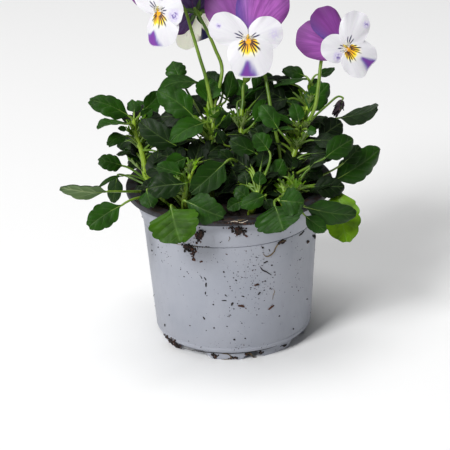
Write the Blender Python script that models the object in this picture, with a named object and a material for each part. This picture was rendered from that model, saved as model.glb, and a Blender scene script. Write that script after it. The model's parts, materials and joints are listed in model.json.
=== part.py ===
"""Potted horned violet: a nursery pot filled with soil, leafy shoots and four open flowers.

The origin is on the pot's axis at the level that its feet stand on. Blender's units are
metres and +Z is up. The front of the pot faces -Y. Lengths below are millimetres, and
mesh_object turns them into metres.
"""
import math
import random

import bmesh
import bpy
from mathutils import Matrix
from mathutils import Vector
from mathutils import noise

MM = 0.001
GAP = 0.3

# Pot: a thin wall turned round the Z axis, with eight feet under its base.
RIM_RADIUS = 52.5
POT_HEIGHT = 83.0
RIM_BAND = 3.2
WALL = 1.1
COLLAR_RADIUS = 47.2
COLLAR_BOTTOM = 73.0
GROOVE_RADIUS = 44.6
GROOVE_HEIGHT = 65.3
BASE_RADIUS = 40.7
FOOT_HEIGHT = 5.0
FOOT_COUNT = 8
FOOT_PHASE = -101.0
SEGMENTS = 40
DRAIN_RADIUS = 2.4
DRAIN_CIRCLE = 22.0
DRAIN_COUNT = 4
FOOT_INSIDE = 30.0
FOOT_OUTSIDE = 38.6
FOOT_NARROWING = (2.0, 0.6)
FOOT_SLOPE = 1.4
RIM_UNDERCUT = 1.2
COLLAR_STEP = 0.8
BASE_ROUND = 0.6
WALL_SHIFT = 0.4

# Soil: a plug that fills the pot to a little under its rim.
SOIL_TOP = 77.5
SOIL_LUMP = 1.6
SOIL_SIDES = 24
SOIL_RINGS = (1.0, 0.8, 0.5, 0.28)
SOIL_CROWN = 0.6
LUMP_SCALE = 0.09
HOLE_DEPTH = 9.0
HOLE_SIDES = 8
HOLE_MARGIN = 0.45

# Leaves and stems
BLADE = 0.75
STEM_RADIUS = 1.5
STALK_RADIUS = 0.75
STEM_TAPER = 0.35
WIDE_LEAF = 8.2
HEEL_EDGE = (0.02, 0.36)
TOOTH_PEAK = (0.50, 1.05)
TOOTH_NOTCH = (0.88, 0.88)
FOLD = 0.12
STALK_LEAD = 0.35
LONG_STALK = 19.0
SHORT_STALK = 7.5
STIPULE_LENGTH = 6.5
STIPULE_WIDTH = 2.0
STIPULE_COUNT = 3
STIPULE_SHARE = 0.88
STIPULE_RISE = 0.9

# Layout: a place on the plant is (right, up, near) as someone sees it who looks down at the
# pot from the front. right and up are mm on a plane across that line of sight, and near is
# mm towards the eye from the plane through the rim's centre.
EYE_TILT = math.radians(23.4)
EYE_LEAN = math.radians(-2.06)
EYE_DISTANCE = 752.8
PLANE_DISTANCE = 740.5
RIM_RIGHT = 2.1
RIM_UP = 23.0

FORWARD = Vector((0.0, math.cos(EYE_TILT), -math.sin(EYE_TILT)))
TO_EYE = -FORWARD
LEVEL_RIGHT = Vector((1.0, 0.0, 0.0))
LEVEL_UP = LEVEL_RIGHT.cross(FORWARD)
EYE_RIGHT = LEVEL_RIGHT * math.cos(EYE_LEAN) + LEVEL_UP * math.sin(EYE_LEAN)
EYE_UP = LEVEL_UP * math.cos(EYE_LEAN) - LEVEL_RIGHT * math.sin(EYE_LEAN)
LAYOUT_CENTRE = Vector((0.0, 0.0, POT_HEIGHT)) - EYE_RIGHT * RIM_RIGHT - EYE_UP * RIM_UP


def seen(place):
    """Turn a layout place into a point of the model."""
    right, up, near = place
    spread = (EYE_DISTANCE - near) / PLANE_DISTANCE
    return LAYOUT_CENTRE + EYE_RIGHT * right * spread + EYE_UP * up * spread + TO_EYE * near


# Shoots that show from the front. Each has the place of its foot on the soil (x, y), the
# course of its stem, and its leaves. A leaf is: how far up the stem its stalk starts (0 to
# 1), its heel, its tip, its width, how far the blade turns from facing the eye (degrees),
# and how far it bows out of flat as a share of its length.
SHOOTS = {
    "shoot_left": {
        "foot": (-34.0, -14.0),
        "stem": [(-39.5, 24.5, 12), (-40.5, 31.5, 12), (-42, 38, 13), (-45, 46, 14), (-45.7, 53, 15)],
        "leaves": [
            (0.97, (-47.5, 54, 16), (-67.5, 62.8, 22), 12, 25, 0.10),
            (0.90, (-49, 50.5, 23), (-63.7, 49.3, 31), 11, 72, 0.10),
            (0.98, (-45.5, 56, 14), (-46.5, 63, 9), 7, 10, 0.05),
            (0.97, (-42.5, 54.5, 17), (-36.5, 57.8, 20), 6, 35, 0.10),
            (0.85, (-41, 57.5, 10), (-32.5, 66.5, 6), 9, 20, 0.08),
            (0.72, (-49.5, 44.5, 18), (-58.3, 39.8, 26), 7, 20, 0.22),
            (0.80, (-49, 47.5, 15), (-53.5, 48.3, 17), 3, 20, 0.10),
            (0.30, (-51, 29.5, 13), (-62.7, 32.5, 19), 10, 25, 0.08),
            (0.24, (-58, 16.8, 33), (-82.5, 20.5, 50), 11, 135, -0.08),
            (0.34, (-51.2, 24.4, 15), (-63, 19.2, 20), 2.5, 30, 0.25),
            (0.26, (-54, 24.5, 6), (-56.5, 11, 3), 8, 10, 0.05),
            (0.16, (-51.5, 9.8, 34), (-68, -1, 38), 12.5, 5, 0.06),
            (0.45, (-40.5, 33.5, 3), (-50, 38.5, 2), 9, 15, 0.06),
            (0.34, (-33.5, 38.5, 10), (-33, 53.5, 4), 12, -15, 0.06),
        ],
    },
    "shoot_front_left": {
        "foot": (-22.0, -32.0),
        "stem": [(-20, 13, 36), (-18, 22, 36), (-15, 31, 33)],
        "leaves": [
            (0.10, (-39, 17.3, 36), (-37, 9.5, 41), 9.5, 0, 0.08),
            (0.70, (-21.5, 25.5, 41), (-34, 29.5, 42), 9, 15, 0.08),
            (0.55, (-32, 20.5, 30), (-33.5, 37, 24), 12, 5, 0.06),
            (0.35, (-19.5, 20.5, 44), (-38.5, 18.3, 45), 13, 10, 0.08),
            (0.80, (-19, 33.5, 36), (-29.5, 28.5, 37), 9.5, -10, 0.10),
            (0.15, (-19.5, 12, 46), (-1, 3.5, 50), 15, 10, 0.12),
            (0.05, (-26.8, 9, 47), (-22, -9, 53), 25, 5, 0.10),
        ],
    },
    "shoot_upper_left": {
        "foot": (-9.0, -16.0),
        "stem": [(-8, 30, 22), (-8, 36.5, 23), (-6.5, 45, 22), (-6, 53.5, 21), (-5.5, 60, 19)],
        "leaves": [
            (0.75, (-22, 72.5, 2), (-26.3, 82, -3), 11, 10, 0.06),
            (0.76, (-13, 71, 10), (-34, 68.3, 12), 14, 52, 0.16),
            (0.82, (-15.5, 54, 25), (-33.7, 67.2, 25), 14, 10, 0.08),
            (0.72, (-10, 51, 28), (-27, 42, 37), 12, 20, 0.20),
            (0.70, (-8, 54, 26), (-2.5, 58.3, 29), 5.5, 15, 0.10),
            (0.86, (-8.5, 61, 21), (-7.3, 73.5, 15), 13.5, 5, 0.06),
            (0.98, (0.5, 62.5, 14), (3.7, 77, 10), 8.5, 15, 0.06),
            (0.90, (-2.5, 69, 4), (-9.5, 76.5, 2), 9, 10, 0.05),
            (0.60, (-14.5, 51, 19), (-27.5, 55, 18), 9, 30, 0.10),
            (0.50, (-22.5, 39, 22), (-42.5, 52, 22), 13, 5, 0.10),
        ],
    },
    "shoot_centre": {
        "foot": (9.0, -10.0),
        "stem": [(9, 26, 16), (8.5, 38, 18), (8, 50, 18), (8.5, 58, 17)],
        "leaves": [
            (0.85, (7, 62, 16), (24.3, 72, 11), 10, 62, 0.10),
            (0.96, (9.5, 64, 10), (5.5, 73, 8), 8, 10, 0.05),
            (0.90, (13.5, 66, 3), (24, 75, 0), 11, 15, 0.06),
            (0.75, (14.5, 51, 23), (20.5, 62.5, 18), 9, 15, 0.06),
            (0.25, (15.5, 36, 27), (2.5, 42.5, 29), 9.5, 10, 0.10),
            (0.65, (-0.5, 40.5, 25), (-4.5, 47.5, 28), 6, 10, 0.08),
            (0.36, (4, 30, 28), (-2.5, 37, 31), 7, 10, 0.08),
            (0.85, (2.5, 56.5, 22), (-4, 49.5, 26), 8, -10, 0.12),
            (0.80, (15, 57, 9), (22.5, 65, 5), 10, 10, 0.06),
            (0.50, (19, 41, 13), (29, 48, 9), 10, 10, 0.06),
            (0.30, (14, 28, 24), (21, 35.5, 24), 9, 5, 0.08),
            (0.15, (6, 24, 27), (12, 31, 27), 8, 5, 0.08),
            (0.42, (0.5, 31.5, 38), (-16.5, 16.5, 47), 14, 5, 0.10),
        ],
    },
    "shoot_front": {
        "foot": (10.0, -34.0),
        "stem": [(14, 8, 38), (15.5, 14, 38), (18, 22, 36)],
        "leaves": [
            (0.45, (8, 11.5, 45), (1.5, 8, 48), 7, 10, 0.10),
            (0.45, (12, 13.5, 40), (5.5, 18.5, 40), 8, 5, 0.10),
            (0.90, (11, 20, 35), (9.5, 27, 33), 8, 10, 0.08),
            (0.55, (17.5, 19.5, 39), (18, 27, 37), 7, 10, 0.08),
            (0.35, (20.5, 15, 45), (8, 9.5, 50), 8.5, 15, 0.12),
            (0.62, (20.5, 13, 38), (23.5, 8, 40), 6, 0, 0.08),
            (0.90, (22, 37, 32), (15, 45.5, 32), 10, 10, 0.06),
            (0.75, (24, 24, 30), (29, 33, 28), 9, 5, 0.06),
        ],
    },
    "shoot_right": {
        "foot": (27.0, -18.0),
        "stem": [(28.5, 17, 16), (31, 26, 17), (34, 34, 17), (37, 43, 16), (39.5, 52, 13),
                 (42, 62, 9), (42.8, 71, 7)],
        "leaves": [
            (0.99, (40, 74.5, 5), (29, 78.3, 6), 9, 28, 0.14),
            (0.97, (41.5, 73, 12), (24.5, 71, 16), 9, 74, 0.08),
            (1.00, (46, 75.3, 5), (55, 77.4, 4), 6, 48, 0.08),
            (0.84, (44, 63, 3), (46.5, 73, -1), 9, 10, 0.05),
            (0.82, (38, 63.5, 4), (29.5, 69.5, 3), 9, 10, 0.06),
            (0.68, (42, 56.5, 13), (52, 71, 7), 12, 10, 0.08),
            (0.62, (37, 51, 21), (34.3, 61, 20), 8, 10, 0.06),
            (0.56, (30.5, 52.5, 10), (23, 63.5, 8), 10, 5, 0.06),
            (0.60, (34.5, 50, 22), (24.3, 55.2, 26), 3.5, 30, 0.10),
            (0.57, (35.5, 48, 25), (23.5, 47, 31), 4, 60, 0.12),
            (0.48, (27, 47.5, 33), (18.3, 60.3, 33), 9.5, 10, 0.06),
            (0.45, (56.5, 53.5, -10), (77.5, 58.2, -24), 12, 52, 0.06),
            (0.48, (46.5, 43, 6), (58.5, 51.5, 4), 13, 5, 0.06),
            (0.61, (41, 48, 22), (45.7, 46.5, 24), 5, 10, 0.10),
            (0.24, (49.5, 33.2, 26), (64.8, 43.3, 21), 11.5, 10, 0.08),
            (0.32, (41, 33.5, 12), (48, 41.5, 10), 9, 10, 0.06),
            (0.14, (42, 22.5, 21), (47.5, 29.5, 19), 8, 15, 0.06),
            (0.18, (59, 31, 14), (67.5, 39.7, 12), 9, 10, 0.06),
            (0.19, (54, 22, 12), (78.3, 38.5, 2), 15, 8, 0.08),
        ],
    },
    "shoot_front_right": {
        "foot": (27.0, -28.0),
        "stem": [(30, 11, 29), (34, 16, 29), (37, 20, 28)],
        "leaves": [
            (0.60, (25, 10, 46), (29.5, -3, 52.5), 25, 5, 0.10),
            (0.75, (27.5, 12.3, 51.5), (39.5, 11, 53.5), 14, 5, 0.10),
            (0.80, (39.5, 9.5, 43), (66, 5, 37), 12.5, 25, 0.06),
            (0.90, (40, 5, 41), (50.5, -3, 40), 8, 10, 0.08),
            (0.92, (56.8, 18.5, 22), (61, -8.5, 27), 19, 5, 0.08),
            (0.98, (41, 17, 28), (53.5, 19.5, 27), 7, 66, 0.08),
        ],
    },
}

# Stalks that grow from a shoot and carry a flower or a bud: the shoot, how far up its stem
# the stalk starts, and its course. The last place lies behind the flower.
FLOWER_STALKS = {
    "bloom_1": ("shoot_upper_left", 0.92, [(-9.6, 73.7, 22), (-12.3, 82.6, 25), (-17, 98, 29),
                                           (-20.3, 108, 30), (-25, 111.5, 29)]),
    "bloom_2": ("shoot_upper_left", 0.97, [(-1.5, 77, 14), (-5, 88, 16), (-9, 97, 19),
                                           (-13, 104.5, 22), (-15.3, 108.3, 22)]),
    "bloom_3": ("shoot_right", 0.07, [(27, 38, 21), (23.5, 55, 23), (20, 75, 21),
                                      (15.5, 92, 18), (12.5, 97, 20)]),
    "bloom_4": ("shoot_right", 0.62, [(44.5, 57.5, 19), (46.7, 70, 20), (48.5, 84, 20),
                                      (53, 92.5, 19), (57.5, 92, 21)]),
    "bud": ("shoot_centre", 0.97, [(9, 62, 17), (9, 69, 15), (10, 71.5, 16)]),
    "small_bud": ("shoot_right", 0.09, [(32, 20, 20), (35, 22, 20)]),
    "withered_flower": ("shoot_right", 0.60, [(44.5, 54, 13), (51, 60, 10), (56, 64.2, 8),
                                              (58.1, 63.7, 8), (58.4, 62.6, 8)]),
}

# Flowers: the place of the eye, the way the flower faces and its own upward direction, both
# as (right, up, near), and its size against a full-grown one.
BLOOMS = {
    "bloom_1": ((-33, 106.8, 32), (-0.45, -0.05, 0.9), (-0.12, 1.0, 0.1), 0.97),
    "bloom_2": ((-15.5, 106, 13), (-0.35, 0.10, -0.93), (0.05, 1.0, 0.1), 0.80),
    "bloom_3": ((11.4, 92.8, 27), (0.03, 0.0, 1.0), (0.02, 1.0, 0.05), 1.0),
    "bloom_4": ((60.7, 88.6, 28), (0.15, 0.0, 1.0), (-0.79, 0.62, 0.05), 0.95),
}

# Petals: the direction from the flower's right (degrees), length, width, height at the
# throat, how far the outer edge leans back, and the depth of the notch in it.
UPPER_PETALS = {
    "upper_a": (118, 30.0, 24.0, -1.75, 1.5, 0.0),
    "upper_b": (63, 30.0, 24.0, -1.35, 1.2, 0.0),
}
LOWER_PETALS = {
    "side_a": (152, 21.0, 17.0, 0.45, 0.2, 0.0),
    "side_b": (27, 21.0, 17.0, 0.45, 0.2, 0.0),
    "lip": (-88, 20.5, 23.0, 0.15, 0.8, 0.08),
}
PETAL = 0.75
PETAL_ROWS = (0.0, 0.34, 0.70, 1.0)
PETAL_COLUMNS = 5
PETAL_OVERLAP = 1.2
THROAT_SPREAD = 0.16
ROUNDING = 0.30
WAVE = 0.45

# What stands behind and before the petals. EYE_DOME gives how far ahead of the throat and
# how wide, SPUR how far behind, how low and how wide, and BUD how far on and how wide.
EYE_DOME = ((1.2, 1.5), (2.1, 2.0), (3.1, 0.8))
NECK = 5.0
SPUR = ((2.6, 0.0, 1.5), (4.2, 0.0, 2.0), (7.5, 1.0, 1.1), (11.0, 0.5, 0.7))
BUD = ((-0.5, 0.7), (1.5, 2.0), (4.0, 1.8), (6.0, 0.4))
CALYX_PLACE = 3.8
SEPAL_LENGTH = 8.5
SEPAL_NOTCH = 2.6
SEPAL_LEAN = 1.6

# The withered flower: its gap below the stalk's end, the way it hangs (right, up), and its
# widths on the way down.
WITHERED_GAP = 0.85
WITHERED_HANG = (-4.3, -8.4)
WITHERED = ((0.0, 0.8), (0.25, 1.9), (0.5, 1.6), (0.8, 2.2), (1.0, 0.7))

# Shoots behind the stems, away from the front: foot (x, y), height, lean away from the
# axis, leaf count, the compass turn of the first leaf and the seed of its small
# differences.
BACK_SHOOTS = {
    "shoot_back_left": (-25.0, 17.0, 26.0, 0.35, 9, 120.0, 1),
    "shoot_back": (5.0, 30.0, 28.0, 0.30, 10, 36.0, 1),
    "shoot_back_right": (28.0, 17.0, 26.0, 0.35, 9, 204.0, 5),
    "shoot_middle": (-5.0, 8.0, 31.0, 0.05, 4, 84.0, 2),
}
GOLDEN_TURN = 137.508

# Their leaves: each pair is the value at the shoot's foot and its change up to the top, in
# the steepness of a stalk, its length and its blade's length.
CLIMB = (0.5, 0.6)
STALK_REACH = (15.0, -7.0)
BLADE_LENGTH = (22.5, -6.5)
BLADE_SHAPE = (0.62, 0.76)
BLADE_DROOP = 0.55
BLADE_BOW = 0.10
BLADE_ROLL = 20.0
SHARP_ANGLE = math.radians(40)

COLOURS = {
    "pot": ((0.38, 0.40, 0.47), 0.45),
    "soil": ((0.022, 0.014, 0.010), 0.95),
    "leaf": ((0.045, 0.11, 0.028), 0.5),
    "violet_petal": ((0.24, 0.05, 0.32), 0.6),
    "white_petal": ((0.86, 0.85, 0.90), 0.6),
    "eye": ((0.90, 0.55, 0.02), 0.6),
    "withered": ((0.05, 0.02, 0.04), 0.8),
}


def clear_scene():
    """Remove every object, so that the model starts from nothing."""
    for thing in list(bpy.data.objects):
        bpy.data.objects.remove(thing)


def material(name):
    """Return the named finish, made from its colour and roughness."""
    if name in bpy.data.materials:
        return bpy.data.materials[name]
    colour, roughness = COLOURS[name]
    made = bpy.data.materials.new(name)
    made.use_nodes = True
    shader = made.node_tree.nodes["Principled BSDF"]
    shader.inputs["Base Color"].default_value = (*colour, 1.0)
    shader.inputs["Roughness"].default_value = roughness
    shader.inputs["Metallic"].default_value = 0.0
    return made


def mesh_object(name, points, faces, finish, collection=None):
    """Make an object from points in millimetres and faces, with its normals outwards."""
    mesh = bpy.data.meshes.new(name)
    mesh.from_pydata([tuple(point * MM) for point in points], [], faces)
    made = bpy.data.objects.new(name, mesh)
    (collection or bpy.context.scene.collection).objects.link(made)
    mesh.materials.append(material(finish))
    work = bmesh.new()
    work.from_mesh(mesh)
    bmesh.ops.recalc_face_normals(work, faces=work.faces)
    work.to_mesh(mesh)
    work.free()
    return made


def fuse(name, pieces, finish):
    """Join closed pieces into one body by a Boolean union on a collection of them."""
    body = pieces[0]
    body.name = name
    body.data.name = name
    group = bpy.data.collections.new(name + "_pieces")
    bpy.context.scene.collection.children.link(group)
    for piece in pieces[1:]:
        bpy.context.scene.collection.objects.unlink(piece)
        group.objects.link(piece)
    union = body.modifiers.new("union", "BOOLEAN")
    union.operation = "UNION"
    union.operand_type = "COLLECTION"
    union.collection = group
    union.solver = "EXACT"
    with bpy.context.temp_override(object=body, active_object=body, selected_objects=[body]):
        bpy.ops.object.modifier_apply(modifier=union.name)
    for piece in pieces[1:]:
        bpy.data.objects.remove(piece)
    bpy.data.collections.remove(group)
    tidy_mesh(body)
    body.data.materials.clear()
    body.data.materials.append(material(finish))
    return body


def tidy_mesh(body, merge=0.0000005):
    """Merge points that a union leaves on top of each other, and split faces in triangles."""
    work = bmesh.new()
    work.from_mesh(body.data)
    bmesh.ops.remove_doubles(work, verts=work.verts, dist=merge)
    bmesh.ops.triangulate(work, faces=work.faces)
    for face in work.faces:
        face.material_index = 0
    work.to_mesh(body.data)
    work.free()


def smooth_course(points, steps):
    """Return points along a smooth curve through the given ones."""
    ends = [points[0] * 2 - points[1], *points, points[-1] * 2 - points[-2]]
    course = []
    for index in range(1, len(ends) - 2):
        before, start, end, after = ends[index - 1:index + 3]
        for step in range(steps):
            t = step / steps
            course.append(
                0.5 * (2 * start + (end - before) * t
                       + (2 * before - 5 * start + 4 * end - after) * t * t
                       + (3 * start - before - 3 * end + after) * t * t * t))
    course.append(points[-1].copy())
    return course


def tube(name, course, radii, sides, finish="leaf"):
    """Make a closed tube along a course, with a radius at each point."""
    points = []
    faces = []
    across = (course[1] - course[0]).orthogonal().normalized()
    for index, place in enumerate(course):
        ahead = course[min(index + 1, len(course) - 1)]
        behind = course[max(index - 1, 0)]
        along = (ahead - behind).normalized()
        across = (across - along * across.dot(along)).normalized()
        beside = along.cross(across)
        for side in range(sides):
            turn = math.tau * side / sides
            ring = across * math.cos(turn) + beside * math.sin(turn)
            points.append(place + ring * radii[index])
    for index in range(len(course) - 1):
        for side in range(sides):
            a = index * sides + side
            b = index * sides + (side + 1) % sides
            faces.append((a, b, b + sides, a + sides))
    faces.append(tuple(range(sides - 1, -1, -1)))
    last = (len(course) - 1) * sides
    faces.append(tuple(range(last, last + sides)))
    return mesh_object(name, points, faces, finish)


def along_course(course, share):
    """Return the point at a share of the way along a course."""
    spans = [(b - a).length for a, b in zip(course, course[1:])]
    left = share * sum(spans)
    for span, start, end in zip(spans, course, course[1:]):
        if left <= span:
            return start.lerp(end, left / span)
        left -= span
    return course[-1].copy()


def zip_strip(near_line, far_line, order):
    """Fill the strip between two rows of (key, index) that share both ends."""
    faces = []
    a = 0
    b = 0
    while a < len(near_line) - 1 or b < len(far_line) - 1:
        next_a = near_line[a + 1][0] if a < len(near_line) - 1 else math.inf
        next_b = far_line[b + 1][0] if b < len(far_line) - 1 else math.inf
        if next_a < next_b:
            face = (near_line[a][1], near_line[a + 1][1], far_line[b][1])
            a += 1
        else:
            face = (near_line[a][1], far_line[b + 1][1], far_line[b][1])
            b += 1
        if len(set(face)) == 3:
            faces.append(face if order > 0 else face[::-1])
    return faces


def blade_spread(u):
    """Half-width of a blade as a share of its greatest, from heel (0) to tip (1)."""
    return math.sin(math.pi * u ** 0.72) ** 0.75


def leaf(name, root, heel, tip, width, turn, bow, face=TO_EYE):
    """Make one leaf: a stalk from a point in the stem, and an ovate, bluntly toothed blade.

    The blade bows along its length and folds up a little from its midrib. face is the way
    it looks before it turns about its own length.
    """
    axis = tip - heel
    length = axis.length
    along = axis / length
    out = (face - along * face.dot(along)).normalized()
    out = Matrix.Rotation(math.radians(turn), 3, along) @ out
    side = along.cross(out)

    def surface(u, v):
        lift = bow * length * 2.0 * u * (1.0 - u) + FOLD * width / 2 * abs(v)
        return heel + along * (u * length) + side * (v * width / 2) + out * lift

    teeth = 3 if width > WIDE_LEAF else 2
    edge = [HEEL_EDGE]
    for tooth in range(teeth):
        for part, swell in (TOOTH_PEAK, TOOTH_NOTCH):
            u = (tooth + part) / teeth
            edge.append((u, swell * blade_spread(u)))
    edge.pop()
    middle = [0.0, 0.3, 0.65, 1.0] if width > WIDE_LEAF else [0.0, 0.5, 1.0]
    layer = [surface(u, 0.0) for u in middle]
    layer += [surface(u, v) for u, v in edge]
    layer += [surface(u, -v) for u, v in edge]
    count = len(layer)
    tip_index = len(middle) - 1
    first_a = len(middle)
    first_b = first_a + len(edge)
    mid_line = [(u, index) for index, u in enumerate(middle)]
    rim_a = [(0.0, 0)] + [(u, first_a + i) for i, (u, v) in enumerate(edge)] + [(1.0, tip_index)]
    rim_b = [(0.0, 0)] + [(u, first_b + i) for i, (u, v) in enumerate(edge)] + [(1.0, tip_index)]
    top = zip_strip(mid_line, rim_a, 1) + zip_strip(mid_line, rim_b, -1)
    points = [point + out * BLADE / 2 for point in layer]
    points += [point - out * BLADE / 2 for point in layer]
    faces = top + [tuple(index + count for index in corners)[::-1] for corners in top]
    loop = [index for _, index in rim_a[1:]] + [index for _, index in reversed(rim_b[1:-1])]
    for a, b in zip(loop, loop[1:]):
        faces += [(a, b, b + count), (a, b + count, a + count)]

    ring = len(points)
    for place, radius, turned in stalk_course(root, heel, along):
        points += [place + turned @ side * radius, place - turned @ side * radius,
                   place - turned @ out * radius]
    faces.append((ring, ring + 1, ring + 2))
    while ring + 3 < len(points):
        for a, b in ((0, 1), (1, 2), (2, 0)):
            faces += [(ring + a, ring + b, ring + b + 3), (ring + a, ring + b + 3, ring + a + 3)]
        ring += 3
    left, right, low = ring, ring + 1, ring + 2
    faces += [
        (left, first_a, 0), (left, 0, right), (right, 0, first_b),
        (right, first_b, first_b + count), (right, first_b + count, count),
        (right, count, low), (low, count, left),
        (left, count, first_a + count), (left, first_a + count, first_a),
    ]
    return mesh_object(name, points, faces, "leaf")


def stalk_course(root, heel, along):
    """Return places, radii and turns on a leaf's stalk, which bends into its blade's line.

    Each turn carries the blade's own directions back along the stalk without a twist. The
    stalk starts inside its stem and ends a little inside its blade.
    """
    reach = (heel - root).length
    control = heel - along * reach * STALK_LEAD + Vector((0, 0, 0.04 * reach))
    root = root + (control - root).normalized() * STEM_RADIUS * 0.4
    steps = 1 if reach < SHORT_STALK else 3 if reach > LONG_STALK else 2
    end = heel - along * 0.9
    places = []
    for step in range(steps + 1):
        t = step / steps
        places.append(root * (1 - t) ** 2 + control * 2 * t * (1 - t) + end * t * t)
    turned = Matrix.Identity(3)
    course = [(end, STALK_RADIUS, turned)]
    heading = along
    for step in range(steps - 1, -1, -1):
        behind = places[max(step - 1, 0)]
        direction = (places[step + 1] - behind).normalized()
        turned = heading.rotation_difference(direction).to_matrix() @ turned
        heading = direction
        course.insert(0, (places[step], STALK_RADIUS * (1.3 - 0.3 * step / steps), turned))
    return course


def small_blade(name, root, tip, width, face=TO_EYE):
    """Make a narrow stipule or sepal: a closed lance shape, widest below its middle."""
    along = (tip - root).normalized()
    out = (face - along * face.dot(along)).normalized()
    side = along.cross(out)
    middle = root.lerp(tip, 0.4)
    flat = [root, middle + side * width / 2, tip, middle - side * width / 2]
    points = [point + out * BLADE / 2 for point in flat]
    points += [point - out * BLADE / 2 for point in flat]
    faces = [(0, 1, 3), (1, 2, 3), (7, 5, 4), (7, 6, 5)]
    for a in range(4):
        b = (a + 1) % 4
        faces += [(a, b, b + 4), (a, b + 4, a + 4)]
    return mesh_object(name, points, faces, "leaf")


def stem_course(foot, stem):
    """Return the stem's course: straight out of its hole in the soil, then as laid out."""
    x, y = foot
    start = [Vector((x, y, SOIL_TOP - HOLE_DEPTH)), Vector((x, y, SOIL_TOP + SOIL_LUMP))]
    return start, start[1:] + [seen(place) for place in stem]


def build_stem(name, start, rise):
    """Make a stem that stands straight in the soil and tapers as it rises."""
    upper = smooth_course(rise, 1)
    course = [start[0], *upper]
    radii = [STEM_RADIUS] * 2
    for index in range(1, len(upper)):
        radii.append(STEM_RADIUS * (1.0 - STEM_TAPER * index / (len(upper) - 1)))
    return tube(name, course, radii, 6), upper


def front_shoot(name, plan):
    """Make one leafy shoot that shows from the front, fused into a single body."""
    start, rise = stem_course(plan["foot"], plan["stem"])
    stem, course = build_stem(name + "_stem", start, rise)
    pieces = [stem]
    for index, (share, heel, tip, width, turn, bow) in enumerate(plan["leaves"]):
        root = along_course(course, share)
        heel = seen(heel)
        tip = seen(tip)
        pieces.append(leaf(f"{name}_leaf_{index}", root, heel, tip, width, turn, bow))
    pieces += stipules(name, course)
    for flower, (shoot, share, places) in FLOWER_STALKS.items():
        if shoot == name:
            pieces += flower_stalk(flower, along_course(course, share), places)
    return pieces


def stipules(name, course):
    """Make the narrow leafy outgrowths that stand round a stem where leaf stalks start."""
    pieces = []
    root = along_course(course, STIPULE_SHARE)
    for step in range(STIPULE_COUNT):
        turn = math.tau * step / STIPULE_COUNT + math.radians(20)
        out = Vector((math.cos(turn), math.sin(turn), STIPULE_RISE)).normalized()
        tip = root + out * STIPULE_LENGTH
        pieces.append(small_blade(f"{name}_stipule_{step}", root, tip, STIPULE_WIDTH))
    return pieces


def flower_axes(facing, upward):
    """Return a flower's right, up and facing directions in the model."""
    face = EYE_RIGHT * facing[0] + EYE_UP * facing[1] + TO_EYE * facing[2]
    face.normalize()
    up = EYE_RIGHT * upward[0] + EYE_UP * upward[1] + TO_EYE * upward[2]
    up = (up - face * up.dot(face)).normalized()
    return up.cross(face), up, face


def flower_stalk(flower, root, places):
    """Make a flower's stalk, with what is green behind the petals."""
    course = [root] + [seen(place) for place in places]
    pieces = []
    if flower in BLOOMS:
        place, facing, upward, size = BLOOMS[flower]
        right, up, face = flower_axes(facing, upward)
        heart = seen(place)
        course.append(heart - face * NECK)
        back = [heart - face * behind - up * low for behind, low, radius in SPUR]
        pieces.append(tube(flower + "_spur", back, [radius for _, _, radius in SPUR], 6))
        pieces.append(calyx(flower, heart - face * CALYX_PLACE, (right, up, face), size))
    elif flower != "withered_flower":
        onward = (course[-1] - course[-2]).normalized()
        bud = [course[-1] + onward * ahead for ahead, radius in BUD]
        pieces.append(tube(flower + "_head", bud, [radius for _, radius in BUD], 6))
    radii = [1.0 - 0.25 * index / len(course) for index in range(len(course))]
    pieces.insert(0, tube(flower + "_stalk", course, radii, 5))
    return pieces


def calyx(flower, centre, axes, size):
    """Make the star of five sepals behind a flower, their tips leaning back."""
    right, up, face = axes
    rim = []
    for step in range(10):
        turn = math.radians(90 + 36 * step)
        out = right * math.cos(turn) + up * math.sin(turn)
        if step % 2 == 0:
            rim.append(centre + out * SEPAL_LENGTH * size - face * SEPAL_LEAN)
        else:
            rim.append(centre + out * SEPAL_NOTCH * size)
    layer = [centre, *rim]
    points = [point + face * BLADE / 2 for point in layer]
    points += [point - face * BLADE / 2 for point in layer]
    faces = []
    for step in range(10):
        a = 1 + step
        b = 1 + (step + 1) % 10
        faces += [(0, a, b), (11, 11 + b, 11 + a), (a, b + 11, b), (a, a + 11, b + 11)]
    return mesh_object(flower + "_calyx", points, faces, "leaf")


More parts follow.
